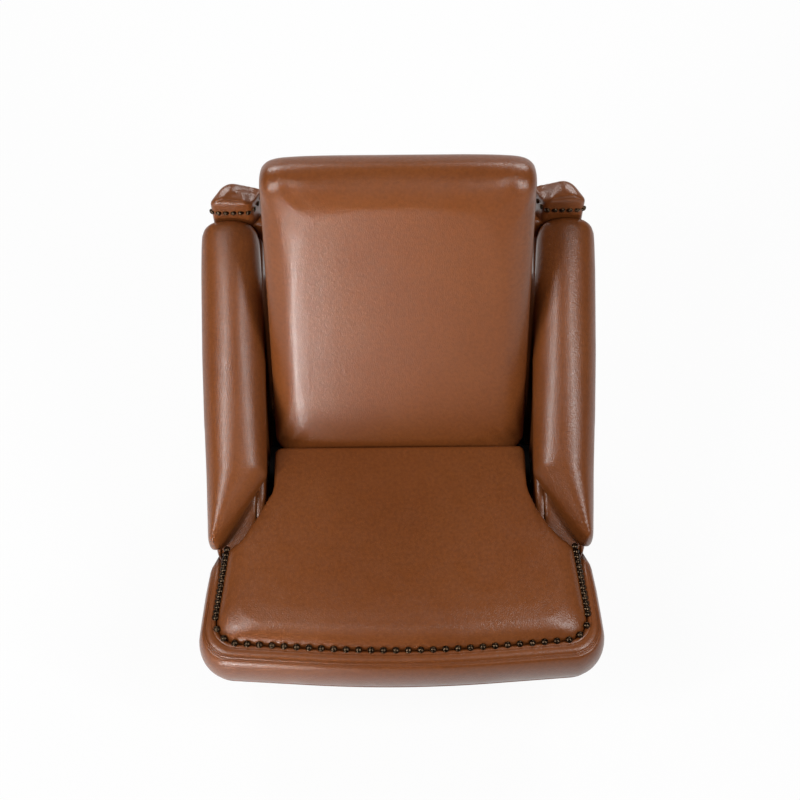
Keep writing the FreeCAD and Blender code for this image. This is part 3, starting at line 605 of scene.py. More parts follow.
@dataclass(frozen=True)
class Stuffing:
    """How a padded form is filled: the voxels of its skin, its pressure and how far it may swell."""

    voxel: float = 0.006
    pressure: float = 4.0
    frames: int = 16
    cap: float = 0.012
    rounds: int = 2
    bending: float = 4.0
    calm: int = 2
    tension: float = 22.0
    compression: float = 16.0
    pin: float = 12.0
    quality: int = 4

    def skin(self, piece: bpy.types.Object) -> None:
        """Cover a closed form with an even mesh and smooth it."""
        remesh = piece.modifiers.new("skin", "REMESH")
        remesh.mode = "VOXEL"
        remesh.voxel_size = self.voxel
        self.settle(piece)
        self.relax(piece, self.rounds)

    @staticmethod
    def relax(piece: bpy.types.Object, rounds: int) -> None:
        """Smooth a piece's mesh.

        Args:
            piece: The piece.
            rounds: How often it is smoothed.
        """
        bm = bmesh.new()
        bm.from_mesh(piece.data)
        for _ in range(rounds):
            bmesh.ops.smooth_vert(
                bm, verts=bm.verts, factor=0.5, use_axis_x=True, use_axis_y=True, use_axis_z=True)
        bm.to_mesh(piece.data)
        bm.free()

    @staticmethod
    def settle(piece: bpy.types.Object) -> None:
        """Make what the modifiers give the piece's own mesh."""
        scene = bpy.context.evaluated_depsgraph_get()
        mesh = bpy.data.meshes.new_from_object(piece.evaluated_get(scene))
        old = piece.data
        piece.modifiers.clear()
        piece.data = mesh
        bpy.data.meshes.remove(old)

    def swell(self, piece: bpy.types.Object, held: Callable[[Vector], float]) -> None:
        """Blow a skinned form up as cloth.

        Args:
            piece: Object with an even mesh.
            held: Gives, for a point, how firmly it is held from 0 to 1.
        """
        rest = [vert.co.copy() for vert in piece.data.vertices]
        group = piece.vertex_groups.new(name="held")
        for index, point in enumerate(rest):
            group.add([index], held(point), "REPLACE")
        cloth = piece.modifiers.new("stuffing", "CLOTH")
        settings = cloth.settings
        settings.vertex_group_mass = "held"
        settings.quality = self.quality
        settings.use_pressure = True
        settings.uniform_pressure_force = self.pressure
        settings.effector_weights.gravity = 0
        settings.tension_stiffness = self.tension
        settings.compression_stiffness = self.compression
        settings.bending_stiffness = self.bending
        settings.pin_stiffness = self.pin
        cloth.point_cache.frame_end = self.frames
        scene = bpy.context.scene
        for number in range(1, self.frames + 1):
            scene.frame_set(number)
        self.settle(piece)
        scene.frame_set(1)
        for vert, start in zip(piece.data.vertices, rest):
            move = vert.co - start
            if move.length > self.cap:
                vert.co = start + move * (self.cap / move.length)
        piece.vertex_groups.clear()
        self.relax(piece, self.calm)


class Upholsterer:
    """Makes leather pieces and hangs them on the frame."""

    def __init__(self, finishes: Finishes) -> None:
        """Keep the finishes.

        Args:
            finishes: Materials of the chair.
        """
        self.finishes = finishes

    def piece(self, name: str, bm: bmesh.types.BMesh, body: str, material: bpy.types.Material = None,
              slot: Slot = Slot.LEATHER, stands_for: Sequence[str] = ()) -> bpy.types.Object:
        """Turn a mesh into a piece of the chair.

        Args:
            name: Name of the piece.
            bm: Its mesh, which is freed.
            body: Body that carries it.
            material: Finish, the slot's own if none.
            slot: Slot of the record.
            stands_for: Nodes that it replaces.

        Returns:
            The new object.
        """
        mesh = bpy.data.meshes.new(name)
        bm.to_mesh(mesh)
        bm.free()
        mesh.polygons.foreach_set("use_smooth", [True] * len(mesh.polygons))
        mesh.materials.append(material or self.finishes.by_slot[slot])
        item = bpy.data.objects.new(name, mesh)
        bpy.context.scene.collection.objects.link(item)
        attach(item, body)
        if stands_for:
            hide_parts(*stands_for)
        log.info("%s on %s", name, body)
        return item

    def pad(self, name: str, loops: Sequence[Sequence[Vector]], body: str, stands_for: Sequence[str],
            stuffing: Stuffing, held: Callable[[Vector], float] = None, fill: float = 0.7,
            levels: int = 1) -> bpy.types.Object:
        """Make a padded piece from loops.

        Args:
            name: Name of the piece.
            loops: Loops of its closed form.
            body: Body that carries it.
            stands_for: Nodes that it replaces.
            stuffing: How it is filled.
            held: Where it is held while it swells; it doesn't swell if none.
            fill: How tight it is; not used.
            levels: Subdivisions of the finished skin.

        Returns:
            The new object.
        """
        bm = bmesh.new()
        loft(bm, loops)
        item = self.piece(name, bm, body, stands_for=stands_for)
        stuffing.skin(item)
        if held:
            stuffing.swell(item, held)
        item.data.polygons.foreach_set("use_smooth", [True] * len(item.data.polygons))
        item.data.materials.clear()
        item.data.materials.append(self.finishes.by_slot[Slot.LEATHER])
        if levels:
            self.subdivide(item, levels)
        return item

    @staticmethod
    def subdivide(item: bpy.types.Object, levels: int) -> None:
        """Subdivide a piece's skin, as often in the view as in the render."""
        smooth = item.modifiers.new("smooth", "SUBSURF")
        smooth.levels = levels
        smooth.render_levels = levels

    def welt(self, name: str, path: Sequence[Vector], radius: float, body: str,
             closed: bool = False) -> bpy.types.Object:
        """Lay a piped seam along a path.

        Args:
            name: Name of the piece.
            path: Its middle line.
            radius: Radius of the piping.
            body: Body that carries it.
            closed: Whether it meets itself.

        Returns:
            The new object.
        """
        bm = bmesh.new()
        loft(bm, tube_loops(path, radius, closed), ring=closed)
        return self.piece(name, bm, body)

    def nails(self, name: str, spots: Iterable[tuple[Vector, Vector]], radius: float,
              body: str) -> bpy.types.Object:
        """Drive a row of domed nails.

        Args:
            name: Name of the piece.
            spots: Place of each nail and the way its head faces.
            radius: Radius of a head.
            body: Body that carries them.

        Returns:
            The new object.
        """
        bm = bmesh.new()
        dome = Matrix.Diagonal((1.0, 1.0, NAIL_DOME, 1.0))
        for place, facing in spots:
            turn = facing.to_track_quat("Z", "Y").to_matrix().to_4x4()
            stand = Matrix.Translation(place) @ turn @ dome
            bmesh.ops.create_uvsphere(bm, u_segments=10, v_segments=6, radius=radius, matrix=stand)
        return self.piece(name, bm, body, material=self.finishes.bronze, slot=Slot.PIN_STEEL)


@dataclass
class Seat:
    """The T-shaped seat: a crowned cushion, a padded border round its head and the nails between them."""

    maker: Upholsterer
    half: float = 0.393
    ear_half: float = 0.372
    ear_setback: float = 0.251
    stem_half: float = 0.2500
    depth: float = 0.4580
    bow: float = 0.026
    corner: float = 0.066
    side_width: float = 0.036
    front_width: float = 0.046
    bottom: float = 0.395
    edge: float = 0.467
    border_bottom: float = 0.3665
    border_top: float = 0.4735
    border_bulge: float = 0.415
    upright_roll: float = 0.003
    shoulder_slope: float = 0.42
    shoulder_reach: float = 0.127
    rim_reach: float = 0.15
    arm_foot: float = 0.446
    nail_radius: float = 0.0067
    nail_rise: float = 0.4748
    front_pitch: float = 0.0232
    side_pitch: float = 0.0108
    side_tilt: float = 0.35
    front_tilt: float = 0.25
    stuffing: Stuffing = field(default_factory=lambda: Stuffing(
        voxel=0.0045, pressure=4.0, frames=14, cap=0.010, rounds=1))

    def head(self, sides: float, nose: float) -> list[Corner]:
        """Return the plan of the seat's head, drawn in at its sides and its front.

        Args:
            sides: How far it is drawn in at the sides.
            nose: How far it is drawn in at the front.

        Returns:
            Corners, anticlockwise from the right ear.
        """
        reach = 0.45 * self.half
        sag = reach * math.tan(math.atan2(self.bow, self.half) / 2)
        corner = self.corner - sides / 2
        return [
            (self.ear_half - sides, self.ear_setback, 0.006),
            (sides - self.ear_half, self.ear_setback, 0.006),
            (sides - self.half, nose + self.bow - sag, corner),
            (0.0, nose - sag, reach),
            (self.half - sides, nose + self.bow - sag, corner),
        ]

    def plan(self, height: float) -> list[Corner]:
        """Return the T-shaped plan of the cushion at a height.

        Args:
            height: Height above the floor.

        Returns:
            Corners, anticlockwise.
        """
        head = self.head(self.side_width, self.front_width)
        climb = max(0.0, height - self.arm_foot) / self.shoulder_slope
        notch = self.ear_setback + min(self.shoulder_reach, climb)
        return [
            (self.stem_half, self.depth, 0.014),
            (-self.stem_half, self.depth, 0.014),
            (-self.stem_half, notch, 0.004),
            *head[1:],
            head[0],
            (self.stem_half, notch, 0.004),
        ]

    def build_cushion(self) -> None:
        """Make the crowned cushion, held at its nails so that the leather puckers between them."""
        levels = (
            (self.bottom, 0.006),
            (self.bottom + 0.02, 0.0005),
            (self.edge - 0.012, 0.0005),
            (self.edge, 0.0012),
            (self.edge + 0.011, 0.006),
            (self.edge + 0.021, 0.018),
            (self.edge + 0.028, 0.038),
            (self.edge + 0.032, 0.066),
            (self.edge + 0.034, 0.100),
        )
        loops = []
        for height, shrink in levels:
            corners = inset(self.plan(height), shrink)
            upright = inset(self.plan(height), min(shrink, self.upright_roll))
            for index in (0, 1, 2, -1):
                corners[index] = upright[index]
            for index in (3, -2):
                corners[index] = (corners[index][0], upright[index][1], corners[index][2])
            loops.append([spot(point.x, point.y, height) for point in rounded(corners, 8)])
        nails = [place for place, _ in self.nail_spots()]

        def held(point: Vector) -> float:
            """Hold all but the front rim, and the leather under each nail there."""
            setback = point.y - FRONT
            near = min((point.xy - nail.xy).length for nail in nails)
            if point.z < self.edge - 0.004 or near < 0.006:
                return 1.0
            return min(1.0, max(0.0, setback / self.rim_reach - 0.6) / 0.4)

        self.maker.pad(
            "seat_cushion_leather", loops, "seat", ("seat_cushion",), self.stuffing, held,
            fill=0.8, levels=0)

    def line(self, share: float, height: float) -> list[Vector]:
        """Follow the border round the head, from the right ear to the left one.

        Args:
            share: Where across the border, from 0 outside to 1 at the nails.
            height: Height of the line.

        Returns:
            Points of the line.
        """
        corners = self.head(self.side_width * share, self.front_width * share)
        rear = [(corners[0][0], self.ear_setback), (corners[1][0], self.ear_setback)]
        turns = rounded(corners, 14)[2 * 15:]
        points = [Vector(rear[1]), *turns, Vector(rear[0])]
        return [spot(point.x, point.y, height) for point in reversed(points)]

    def profile(self) -> list[tuple[float, float]]:
        """Return the border's section: share across it and height, round from the nails."""
        top, low, bulge = self.border_top, self.border_bottom, self.border_bulge
        return [
            (1.06, top - 0.016), (1.0, top - 0.005), (0.93, top - 0.0012), (0.86, top - 0.0006),
            (0.835, top - 0.0028), (0.81, top - 0.0004), (0.70, top + 0.0008), (0.58, top),
            (0.50, top - 0.0016), (0.465, top - 0.0046), (0.445, top - 0.0022), (0.425, top - 0.0022),
            (0.405, top - 0.0060), (0.36, top - 0.0036), (0.26, top - 0.0078), (0.14, top - 0.0185),
            (0.05, top - 0.034), (0.0, bulge), (0.03, bulge - 0.026), (0.12, low + 0.008), (0.26, low),
            (1.06, low),
        ]

    def build_border(self) -> None:
        """Sweep the border's section round the head."""
        lines = [self.line(share, height) for share, height in self.profile()]
        loops = [list(ring) for ring in zip(*lines)]
        bm = bmesh.new()
        loft(bm, loops)
        item = self.maker.piece("seat_border_leather", bm, "seat", stands_for=("seat_border",))
        self.maker.subdivide(item, 1)
        seam = self.line(0.20, self.border_bottom + 0.001)
        self.maker.welt("seat_border_piping", seam, FINE_PIPING, "seat")

    def nail_spots(self) -> list[tuple[Vector, Vector]]:
        """Return the place and facing of every nail round the head."""
        line = self.line(1.0, self.nail_rise)
        bend = self.corner * 1.15 + self.bow + self.front_width
        first = next(index for index, point in enumerate(line) if point.y < FRONT + bend)
        last = len(line) - first
        right = spaced(line[:first + 1], self.side_pitch)
        front = spaced(line[first:last], self.front_pitch)
        left = spaced(line[last - 1:], self.side_pitch)
        spots = []
        for place in [*right, *front[1:-1], *left]:
            away = Vector((0, -self.front_tilt, 0))
            if place in right or place in left:
                away = Vector((place.x * self.side_tilt, 0.0, 0.0))
            spots.append((place, (Vector((0, 0, 1)) + away).normalized()))
        return spots

    def build(self) -> None:
        """Build the cushion, the border and the nails."""
        self.build_cushion()
        self.build_border()
        self.maker.nails("seat_nails", self.nail_spots(), self.nail_radius, "seat")


@dataclass
class Back:
    """The reclining back: a tight cushion with a rolled top, and a padded cover behind."""

    maker: Upholsterer
    crease: float = 0.454
    crease_height: float = 0.465
    lean: float = math.radians(27.6)
    half: float = 0.2505
    length: float = 0.573
    roll: float = 0.050
    thick: float = 0.065
    lip: float = 0.5483
    crown: float = 0.006
    cover_foot: float = 0.1503
    cover_head: float = 0.0946
    cover_thick: float = 0.014
    cover_bottom: float = 0.02
    band_inner: float = 0.2368
    band_outer: float = 0.2478
    stuffing: Stuffing = field(default_factory=lambda: Stuffing(
        voxel=0.006, pressure=3.0, frames=12, cap=0.008, rounds=1, bending=6.0, calm=3))

    def stand(self, x: float, depth: float, height: float) -> Vector:
        """Turn a place on the back, behind its front and up from its lower edge, into the frame.

        Args:
            x: Distance from the middle.
            depth: Distance behind the front.
            height: Distance up from the lower edge.

        Returns:
            The place.
        """
        cos, sin = math.cos(self.lean), math.sin(self.lean)
        setback = self.crease + depth * cos + height * sin
        return spot(x, setback, self.crease_height - depth * sin + height * cos)

    def build_cushion(self) -> None:
        """Make the cushion from sections across its width, drawn in at its sides."""
        top = self.length + self.roll
        section = [
            (self.crown - 0.004, -0.004, 0.006),
            (self.thick, -0.004, 0.004),
            (self.thick, self.lip, 0.002),
            (2 * self.roll, self.lip, 0.004),
            (2 * self.roll, top, 0.048),
            (0.0, top, 0.048),
        ]
        stations = (
            (0.0, 0.030), (0.005, 0.017), (0.016, 0.008), (0.036, 0.0032), (0.075, 0.001), (0.13, 0.0))
        rims = [(self.half - step, shrink) for step, shrink in stations]
        rims += [(-x, shrink) for x, shrink in reversed(rims)]
        loops = [[self.stand(x, p.x, p.y) for p in rounded(inset(section, shrink))] for x, shrink in rims]
        behind = self.stand(0, self.thick - 0.02, 0)
        ahead = self.stand(0, 0, 0) - behind

        def held(point: Vector) -> float:
            """Hold the rear of the cushion."""
            return 1.0 if (point - behind).dot(ahead) < 0 else 0.0

        self.maker.pad(
            "back_cushion_leather", loops, "back", ("back_cushion",), self.stuffing, held, fill=0.75)

    def build_cover(self) -> None:
        """Make the cover behind the back, with piping round its edge."""
        low, high = self.cover_bottom, self.lip - 0.0015
        corners = panel(self.band_outer, low, high, 0.02, top_reach=0.03)

        def lift(point: Vector, depth: float) -> Vector:
            """Lay a point on the slanting rear of the stiles."""
            share = (point.y - low) / (high - low)
            slant = self.cover_foot * (1 - share) + self.cover_head * share
            return self.stand(point.x, slant + depth, point.y)

        thick = self.cover_thick
        levels = (
            (0.0006, 0.004), (0.004, 0.0), (0.008, 0.001), (0.0115, 0.006),
            (thick, 0.03), (thick + 0.003, 0.1),
        )
        loops = pillow_loops(corners, levels, lift)
        self.maker.pad("rear_cover_leather", loops, "back", ("rear_cover",), Stuffing(), fill=0.6, levels=0)
        path = [lift(point, 0.0095) for point in rounded(inset(corners, 0.0015), 10)]
        self.maker.welt("rear_cover_piping", path, PIPING, "back", closed=True)

    def build_band(self, side: Side) -> None:
        """Make the leather band over a stile, between the cushion and the rear cover.

        Args:
            side: Side of the chair.
        """
        front, low, high = self.thick + 0.0008, self.cover_bottom, self.lip - 0.0015
        corners = [
            (front, low, 0.004), (self.cover_foot, low, 0.004),
            (self.cover_head, high, 0.004), (front, high, 0.004),
        ]

        def lift(point: Vector, x: float) -> Vector:
            """Stand a point of the band at a distance from the middle."""
            return self.stand(side.value * x, point.x, point.y)

        levels = ((self.band_inner, 0.0), (self.band_outer - 0.002, 0.0), (self.band_outer, 0.003))
        bm = bmesh.new()
        loft(bm, pillow_loops(corners, levels, lift))
        item = self.maker.piece(f"back_side_band_{side.word}", bm, "back")

    def build(self) -> None:
        """Build the cushion, the bands at its sides and the cover."""
        self.build_cushion()
        for side in Side:
            self.build_band(side)
        self.build_cover()


@dataclass
class ArmSide:
    """One side of the fixed frame: arm pad, wing, covers and their piping."""

    maker: Upholsterer
    side: Side
    arm_setback: float = 0.258
    arm_full: float = 0.386
    arm_end: float = 0.8117
    front_height: float = 0.505
    rear_height: float = 0.786
    thick: float = 0.066
    tip_inner: float = 0.350
    inner: tuple[float, float] = (0.258, 0.268)
    outer: tuple[float, float] = (0.375, 0.384)
    swell: float = 0.003
    shoulder: float = 0.052
    round_steps: int = 28
    fullness: float = 0.86
    wing_front: float = 0.8125
    wing_rear: float = 0.8615
    wing_low: float = 0.7205
    wing_top: float = 0.8375
    wing_inner: tuple[float, float] = (0.279, 0.255)
    wing_outer: tuple[float, float] = (0.362, 0.330)
    wing_corner: float = 0.018
    wing_arch: float = 0.018
    wing_fall: float = 0.011
    nail_radius: float = 0.0058
    nail_height: float = 0.794
    nail_pitch: float = 0.0145
    panel_inner: float = 0.282
    wood: float = 0.036
    cover: float = 0.044
    lining: float = 0.018
    lining_low: float = 0.395
    leg: float = 0.150
    base_setback: float = 0.135
    base_height: float = 0.352
    rear_foot: float = 0.758
    rear_head: float = 0.848
    post_depth: float = 0.026
    wrap: float = 0.003
    stuffing: Stuffing = field(default_factory=lambda: Stuffing(
        voxel=0.005, pressure=3.0, frames=12, cap=0.004, rounds=3))

    def out(self, x: float, setback: float, z: float) -> Vector:
        """Return a place on this side, from its distance to the middle."""
        return spot(self.side.value * x, setback, z)

    def arm_section(self, setback: float, shrink: float) -> list[Vector]:
        """Return the section across the arm pad: a flat foot under a full half round.

        Args:
            setback: Where along the arm.
            shrink: How far the section is drawn in.

        Returns:
            Points as distance from the middle and height, anticlockwise.
        """
        along = (setback - self.arm_setback) / (self.arm_end - self.arm_setback)
        height = self.front_height * (1 - along) + self.rear_height * along
        outer = self.outer[0] * (1 - along) + self.outer[1] * along - shrink
        if setback < self.arm_full:
            share = (setback - self.arm_setback) / (self.arm_full - self.arm_setback)
            inner = self.tip_inner * (1 - share) + self.inner[0] * share + shrink
        else:
            share = (setback - self.arm_full) / (self.arm_end - self.arm_full)
            inner = self.inner[0] * (1 - share) + self.inner[1] * share + shrink
        middle, reach = (inner + outer) / 2, (outer - inner) / 2
        base = height - self.shoulder
        low = height - self.thick
        points = [Vector((inner + 0.002, low)), Vector((outer - 0.002, low))]
        for step in range(self.round_steps + 1):
            angle = math.pi * step / self.round_steps
            across = math.copysign(abs(math.cos(angle)) ** self.fullness, math.cos(angle))
            rise = math.sin(angle) ** self.fullness
            points.append(Vector((middle + reach * across, base + (self.shoulder - shrink) * rise)))
        return points

    def build_arm(self) -> None:
        """Make the sloping arm pad."""
        stations = (
            (self.arm_setback, 0.008), (self.arm_setback + 0.006, 0.002), (self.arm_setback + 0.02, 0.001),
            (self.arm_full, 0.0), (self.arm_full + 0.1, -0.7 * self.swell),
            (self.arm_full + 0.2, -self.swell), (self.arm_end - 0.08, -0.3 * self.swell),
            (self.arm_end - 0.03, 0.001),
            (self.arm_end - 0.014, 0.0025), (self.arm_end - 0.004, 0.007), (self.arm_end, 0.013),
        )
        loops = []
        for setback, shrink in stations:
            section = self.arm_section(setback, shrink)
            loops.append([self.out(point.x, setback, point.y) for point in section])
        slope = (self.rear_height - self.front_height) / (self.arm_end - self.arm_setback)

        def held(point: Vector) -> float:
            """Hold the underside of the pad."""
            underside = self.front_height - self.thick + slope * (point.y - FRONT - self.arm_setback)
            return 1.0 if point.z < underside + 0.02 else 0.0

        name = f"arm_pad_{self.side.word}"
        self.maker.pad(f"{name}_leather", loops, "frame", (name,), self.stuffing, held, fill=0.85)

    def wing_plan(self, shrink: float) -> list[Corner]:
        """Return the plan of the wing, turned slightly inwards towards its rear."""
        corners = [
            (self.wing_inner[0], self.wing_front, 0.010),
            (self.wing_outer[0], self.wing_front, 0.012),
            (self.wing_outer[1], self.wing_rear, self.wing_corner),
            (self.wing_inner[1], self.wing_rear, 0.016),
        ]
        return inset(corners, shrink)

    def build_wing(self) -> None:
        """Make the wing above the arm's rear end, with an arched top and nails round its foot."""
        low, top, line = self.wing_low, self.wing_top, self.nail_height
        middle = (self.wing_inner[0] + self.wing_outer[0]) / 2
        half = (self.wing_outer[0] - self.wing_inner[0]) / 2

        def lift(point: Vector, height: float) -> Vector:
            """Arch the top across the wing."""
            rise = max(0.0, (height - low) / (top - low)) ** 4
            across = min(1.0, abs(point.x - middle) / half)
            fall = self.wing_fall * (point.y - self.wing_front) / (self.wing_rear - self.wing_front)
            return self.out(point.x, point.y, height - rise * (self.wing_arch * across ** 2 + fall))

        levels = (
            (low, 0.0), (line - 0.006, 0.0), (line, 0.0015), (line + 0.006, 0.0),
            (top - 0.007, 0.0), (top - 0.002, 0.0025), (top, 0.008), (top + 0.0008, 0.024),
        )
        loops = pillow_loops(self.wing_plan(0.0), levels, lift)
        name = f"wing_{self.side.word}"
        skin = Stuffing(voxel=0.0035, rounds=1)
        self.maker.pad(f"{name}_leather", loops, "frame", (name,), skin, fill=0.9)
        outline = [self.out(point.x, point.y, line) for point in rounded(self.wing_plan(0.0), 8)]
        centre = self.out(middle, (self.wing_front + self.wing_rear) / 2, line)
        places = spaced([*outline, outline[0]], self.nail_pitch)[:-1]
        spots = [(place, self.facing(place, centre)) for place in places]
        self.maker.nails(f"wing_nails_{self.side.word}", spots, self.nail_radius, "frame")

    def facing(self, place: Vector, centre: Vector) -> Vector:
        """Return which way a nail on the wing's wall faces.

        Args:
            place: Place of the nail.
            centre: Middle of the wing.

        Returns:
            Direction away from the wall.
        """
        across = (self.wing_outer[0] - self.wing_inner[0]) / 2
        along = (self.wing_rear - self.wing_front) / 2
        away = place - centre
        return Vector(((away.x / across) ** 3, (away.y / along) ** 3, 0.12)).normalized()

    def outline(self, grow: float) -> list[Corner]:
        """Return the side frame's outline as setback and height, grown where leather wraps round it.

        Args:
            grow: How far the front, foot and rear stand out.

        Returns:
            Corners, anticlockwise.
        """
        post = self.rear_height - self.thick - 0.0006
        foot = self.front_height - self.thick - 0.0006
        soft = 0.006
        return [
            (self.base_setback - grow, self.leg + 0.0004, soft),
            (self.rear_foot + grow, self.leg + 0.0004, soft),
            (self.rear_head + grow, post, soft / 2),
            (self.wing_front, post, soft / 2),
            (self.arm_setback - grow, foot, soft),
            (self.arm_setback - grow, self.base_height + grow, soft),
            (self.base_setback - grow, self.base_height + grow, soft),
        ]

    def build_covers(self) -> None:
        """Make the outer cover, wrapped round the frame's edges, and the lining inside the arm."""
        word = self.side.word
        wood_face = self.panel_inner + self.wood
        face = wood_face + self.cover

        def lift(point: Vector, x: float) -> Vector:
            """Stand a point of the outline at a distance from the middle."""
            return self.out(x, point.x, point.y)

        levels = (
            (self.panel_inner - 0.0005, 0.0), (face - 0.016, 0.0), (face - 0.009, 0.0015),
            (face - 0.003, 0.006), (face - 0.0005, 0.014), (face, 0.05),
        )
        wrapped = self.outline(self.wrap)
        loops = pillow_loops(wrapped, levels, lift)
        name = f"outer_cover_{word}"
        self.maker.pad(
            f"{name}_leather", loops, "frame", (name, f"side_frame_{word}"), Stuffing(rounds=1),
            fill=0.8, levels=0)
        path = [lift(point, face - 0.0085) for point in rounded(inset(wrapped, 0.0005), 8)]
        self.maker.welt(f"{name}_piping", path, PIPING, "frame", closed=True)
        frame_line = self.outline(0.0)
        low = self.lining_low
        corners = [
            (self.arm_setback, low, 0.01), (self.rear_foot, low, 0.01),
            (self.wing_front, frame_line[3][1], 0.01), (self.arm_setback, frame_line[4][1] - 0.004, 0.004),
        ]
        inside = self.panel_inner - self.lining
        levels = (
            (self.panel_inner + 0.003, 0.0), (inside + 0.006, 0.0),
            (inside + 0.0015, 0.002), (inside, 0.007),
        )
        loops = pillow_loops(corners, levels, lift)
        skin = Stuffing(voxel=0.005, rounds=1)
        name = f"inner_cover_{word}"
        self.maker.pad(f"{name}_leather", loops, "frame", (name,), skin, fill=0.7, levels=0)

    def build_post_lining(self) -> None:
        """Pad the rear post towards the back, from the rear panel up to the wing."""
        low, high = self.lining_low, self.wing_low + 0.03
        lean = (self.rear_head - self.rear_foot) / (self.rear_height - self.thick - self.leg)
        front = self.rear_foot - self.post_depth - 0.012

        def lift(point: Vector, x: float) -> Vector:
            """Stand a point of the strip at a distance from the middle, leaning as the post leans."""
            return self.out(x, point.x + (point.y - self.leg) * lean, point.y)

        corners = [
            (front, low, 0.006), (front + self.post_depth, low, 0.006),
            (front + self.post_depth, high, 0.006), (front, high, 0.006),
        ]
        inside = self.wing_inner[1]
        levels = (
            (self.panel_inner - 0.0005, 0.0), (inside + 0.004, 0.0),
            (inside + 0.001, 0.002), (inside, 0.006),
        )
        bm = bmesh.new()
        loft(bm, pillow_loops(corners, levels, lift))
        item = self.maker.piece(f"post_lining_{self.side.word}", bm, "frame")

    def build(self) -> None:
        """Build the arm, the wing, the covers and the lining of the post."""
        self.build_arm()
        self.build_wing()
        self.build_covers()
        self.build_post_lining()


@dataclass
class RearPanel:
    """The padded panel between the rear posts."""

    maker: Upholsterer
    half: float = 0.2815
    low: float = 0.1505
    high: float = 0.5595
    foot: float = 0.726
    thick: float = 0.018
    rake: float = 0.1826
    cloth_front: float = 0.400
    cloth_half: float = 0.290

    def build_dust_cloth(self) -> None:
        """Tack black cloth under the frame, forward from the panel's foot."""
        low, top = self.low - 0.0025, self.low - 0.0007
        corners = panel(self.cloth_half, self.cloth_front, self.foot + self.thick, 0.01)

        def lay(point: Vector, height: float) -> Vector:
            """Lay a point of the cloth at a height."""
            return spot(point.x, point.y, height)

        bm = bmesh.new()
        loft(bm, pillow_loops(corners, ((low, 0.0), (top, 0.0)), lay))
        self.maker.piece("dust_cloth", bm, "frame", DustCloth().material(), stands_for=("dust_cover",))

    def build(self) -> None:
        """Make the panel, the piping round it and the cloth at its foot."""
        self.build_dust_cloth()
        corners = panel(self.half, self.low, self.high, 0.012)

        def lift(point: Vector, depth: float) -> Vector:
            """Lean a point back as the posts lean."""
            return spot(point.x, self.foot + (point.y - self.low) * self.rake + depth, point.y)

        thick = self.thick
        levels = ((0.0, 0.004), (0.004, 0.0), (thick - 0.006, 0.001), (thick - 0.002, 0.006), (thick, 0.03))
        loops = pillow_loops(corners, levels, lift)
        self.maker.pad("rear_panel_leather", loops, "frame", ("rear_panel",), Stuffing(), fill=0.6, levels=0)
        path = [lift(point, thick - 0.004) for point in rounded(inset(corners, 0.003), 8)]
        self.maker.welt("rear_panel_piping", path, PIPING, "frame", closed=True)


@dataclass
class Footrest:
    """The footrest's pad, in the frame of its slanting board."""

    maker: Upholsterer
    toe_setback: float = 0.159803
    toe_height: float = 0.204443
    slant: float = math.radians(12.4)
    half: float = 0.2755
    above: float = 0.1395
    below: float = 0.1115
    face: float = 0.0353
    thick: float = 0.030
    board: float = 0.0145
    wrap: float = 0.0025
    stuffing: Stuffing = field(default_factory=lambda: Stuffing(
        voxel=0.006, pressure=3.0, frames=10, cap=0.006, rounds=1))

    def lift(self, point: Vector, depth: float) -> Vector:
        """Turn a point of the pad's outline, and its distance in front of the board, into the frame."""
        cos, sin = math.cos(self.slant), math.sin(self.slant)
        ahead = -self.face - depth
        setback = self.toe_setback + ahead * cos - point.y * sin
        return spot(point.x, setback, self.toe_height + ahead * sin + point.y * cos)

    def build(self) -> None:
        """Make the pad and its piping."""
        corners = panel(self.half, -self.below, self.above, 0.02)
        thick = self.thick
        levels = (
            (-self.board, -self.wrap), (thick * 0.5, -self.wrap), (thick * 0.7, 0.001),
            (thick * 0.82, 0.011), (thick * 0.86, 0.04),
        )
        facing = self.lift(Vector((0, 0)), 1.0) - self.lift(Vector((0, 0)), 0.0)
        board = self.lift(Vector((0, 0)), thick * 0.45)

        def held(point: Vector) -> float:
            """Hold the side that lies on the board."""
            return 1.0 if (point - board).dot(facing) < 0 else 0.0

        loops = pillow_loops(corners, levels, self.lift)
        self.maker.pad(
            "footrest_pad_leather", loops, "footrest", ("footrest_pad",), self.stuffing, held, fill=0.8)
        path = [self.lift(point, thick * 0.42) for point in rounded(inset(corners, -self.wrap), 8)]
        self.maker.welt("footrest_piping", path, FINE_PIPING, "footrest", closed=True)


@dataclass(frozen=True)
class Lamp:
    """A soft lamp that points at the chair, as wide and as long as its size."""

    name: str
    place: tuple[float, float, float]
    size: tuple[float, float]
    power: float
    target: tuple[float, float, float] = (0.0, 0.0, 0.6)
    spread: float = math.pi

    def build(self) -> None:
        """Hang the lamp."""
        light = bpy.data.lights.new(self.name, "AREA")
        light.shape = "RECTANGLE"
        light.size, light.size_y = self.size
        light.energy = self.power
        light.spread = self.spread
        item = bpy.data.objects.new(self.name, light)
        item.location = self.place
        item.rotation_euler = (Vector(self.target) - Vector(self.place)).to_track_quat("-Z", "Y").to_euler()
        item.visible_camera = False
        bpy.context.scene.collection.objects.link(item)


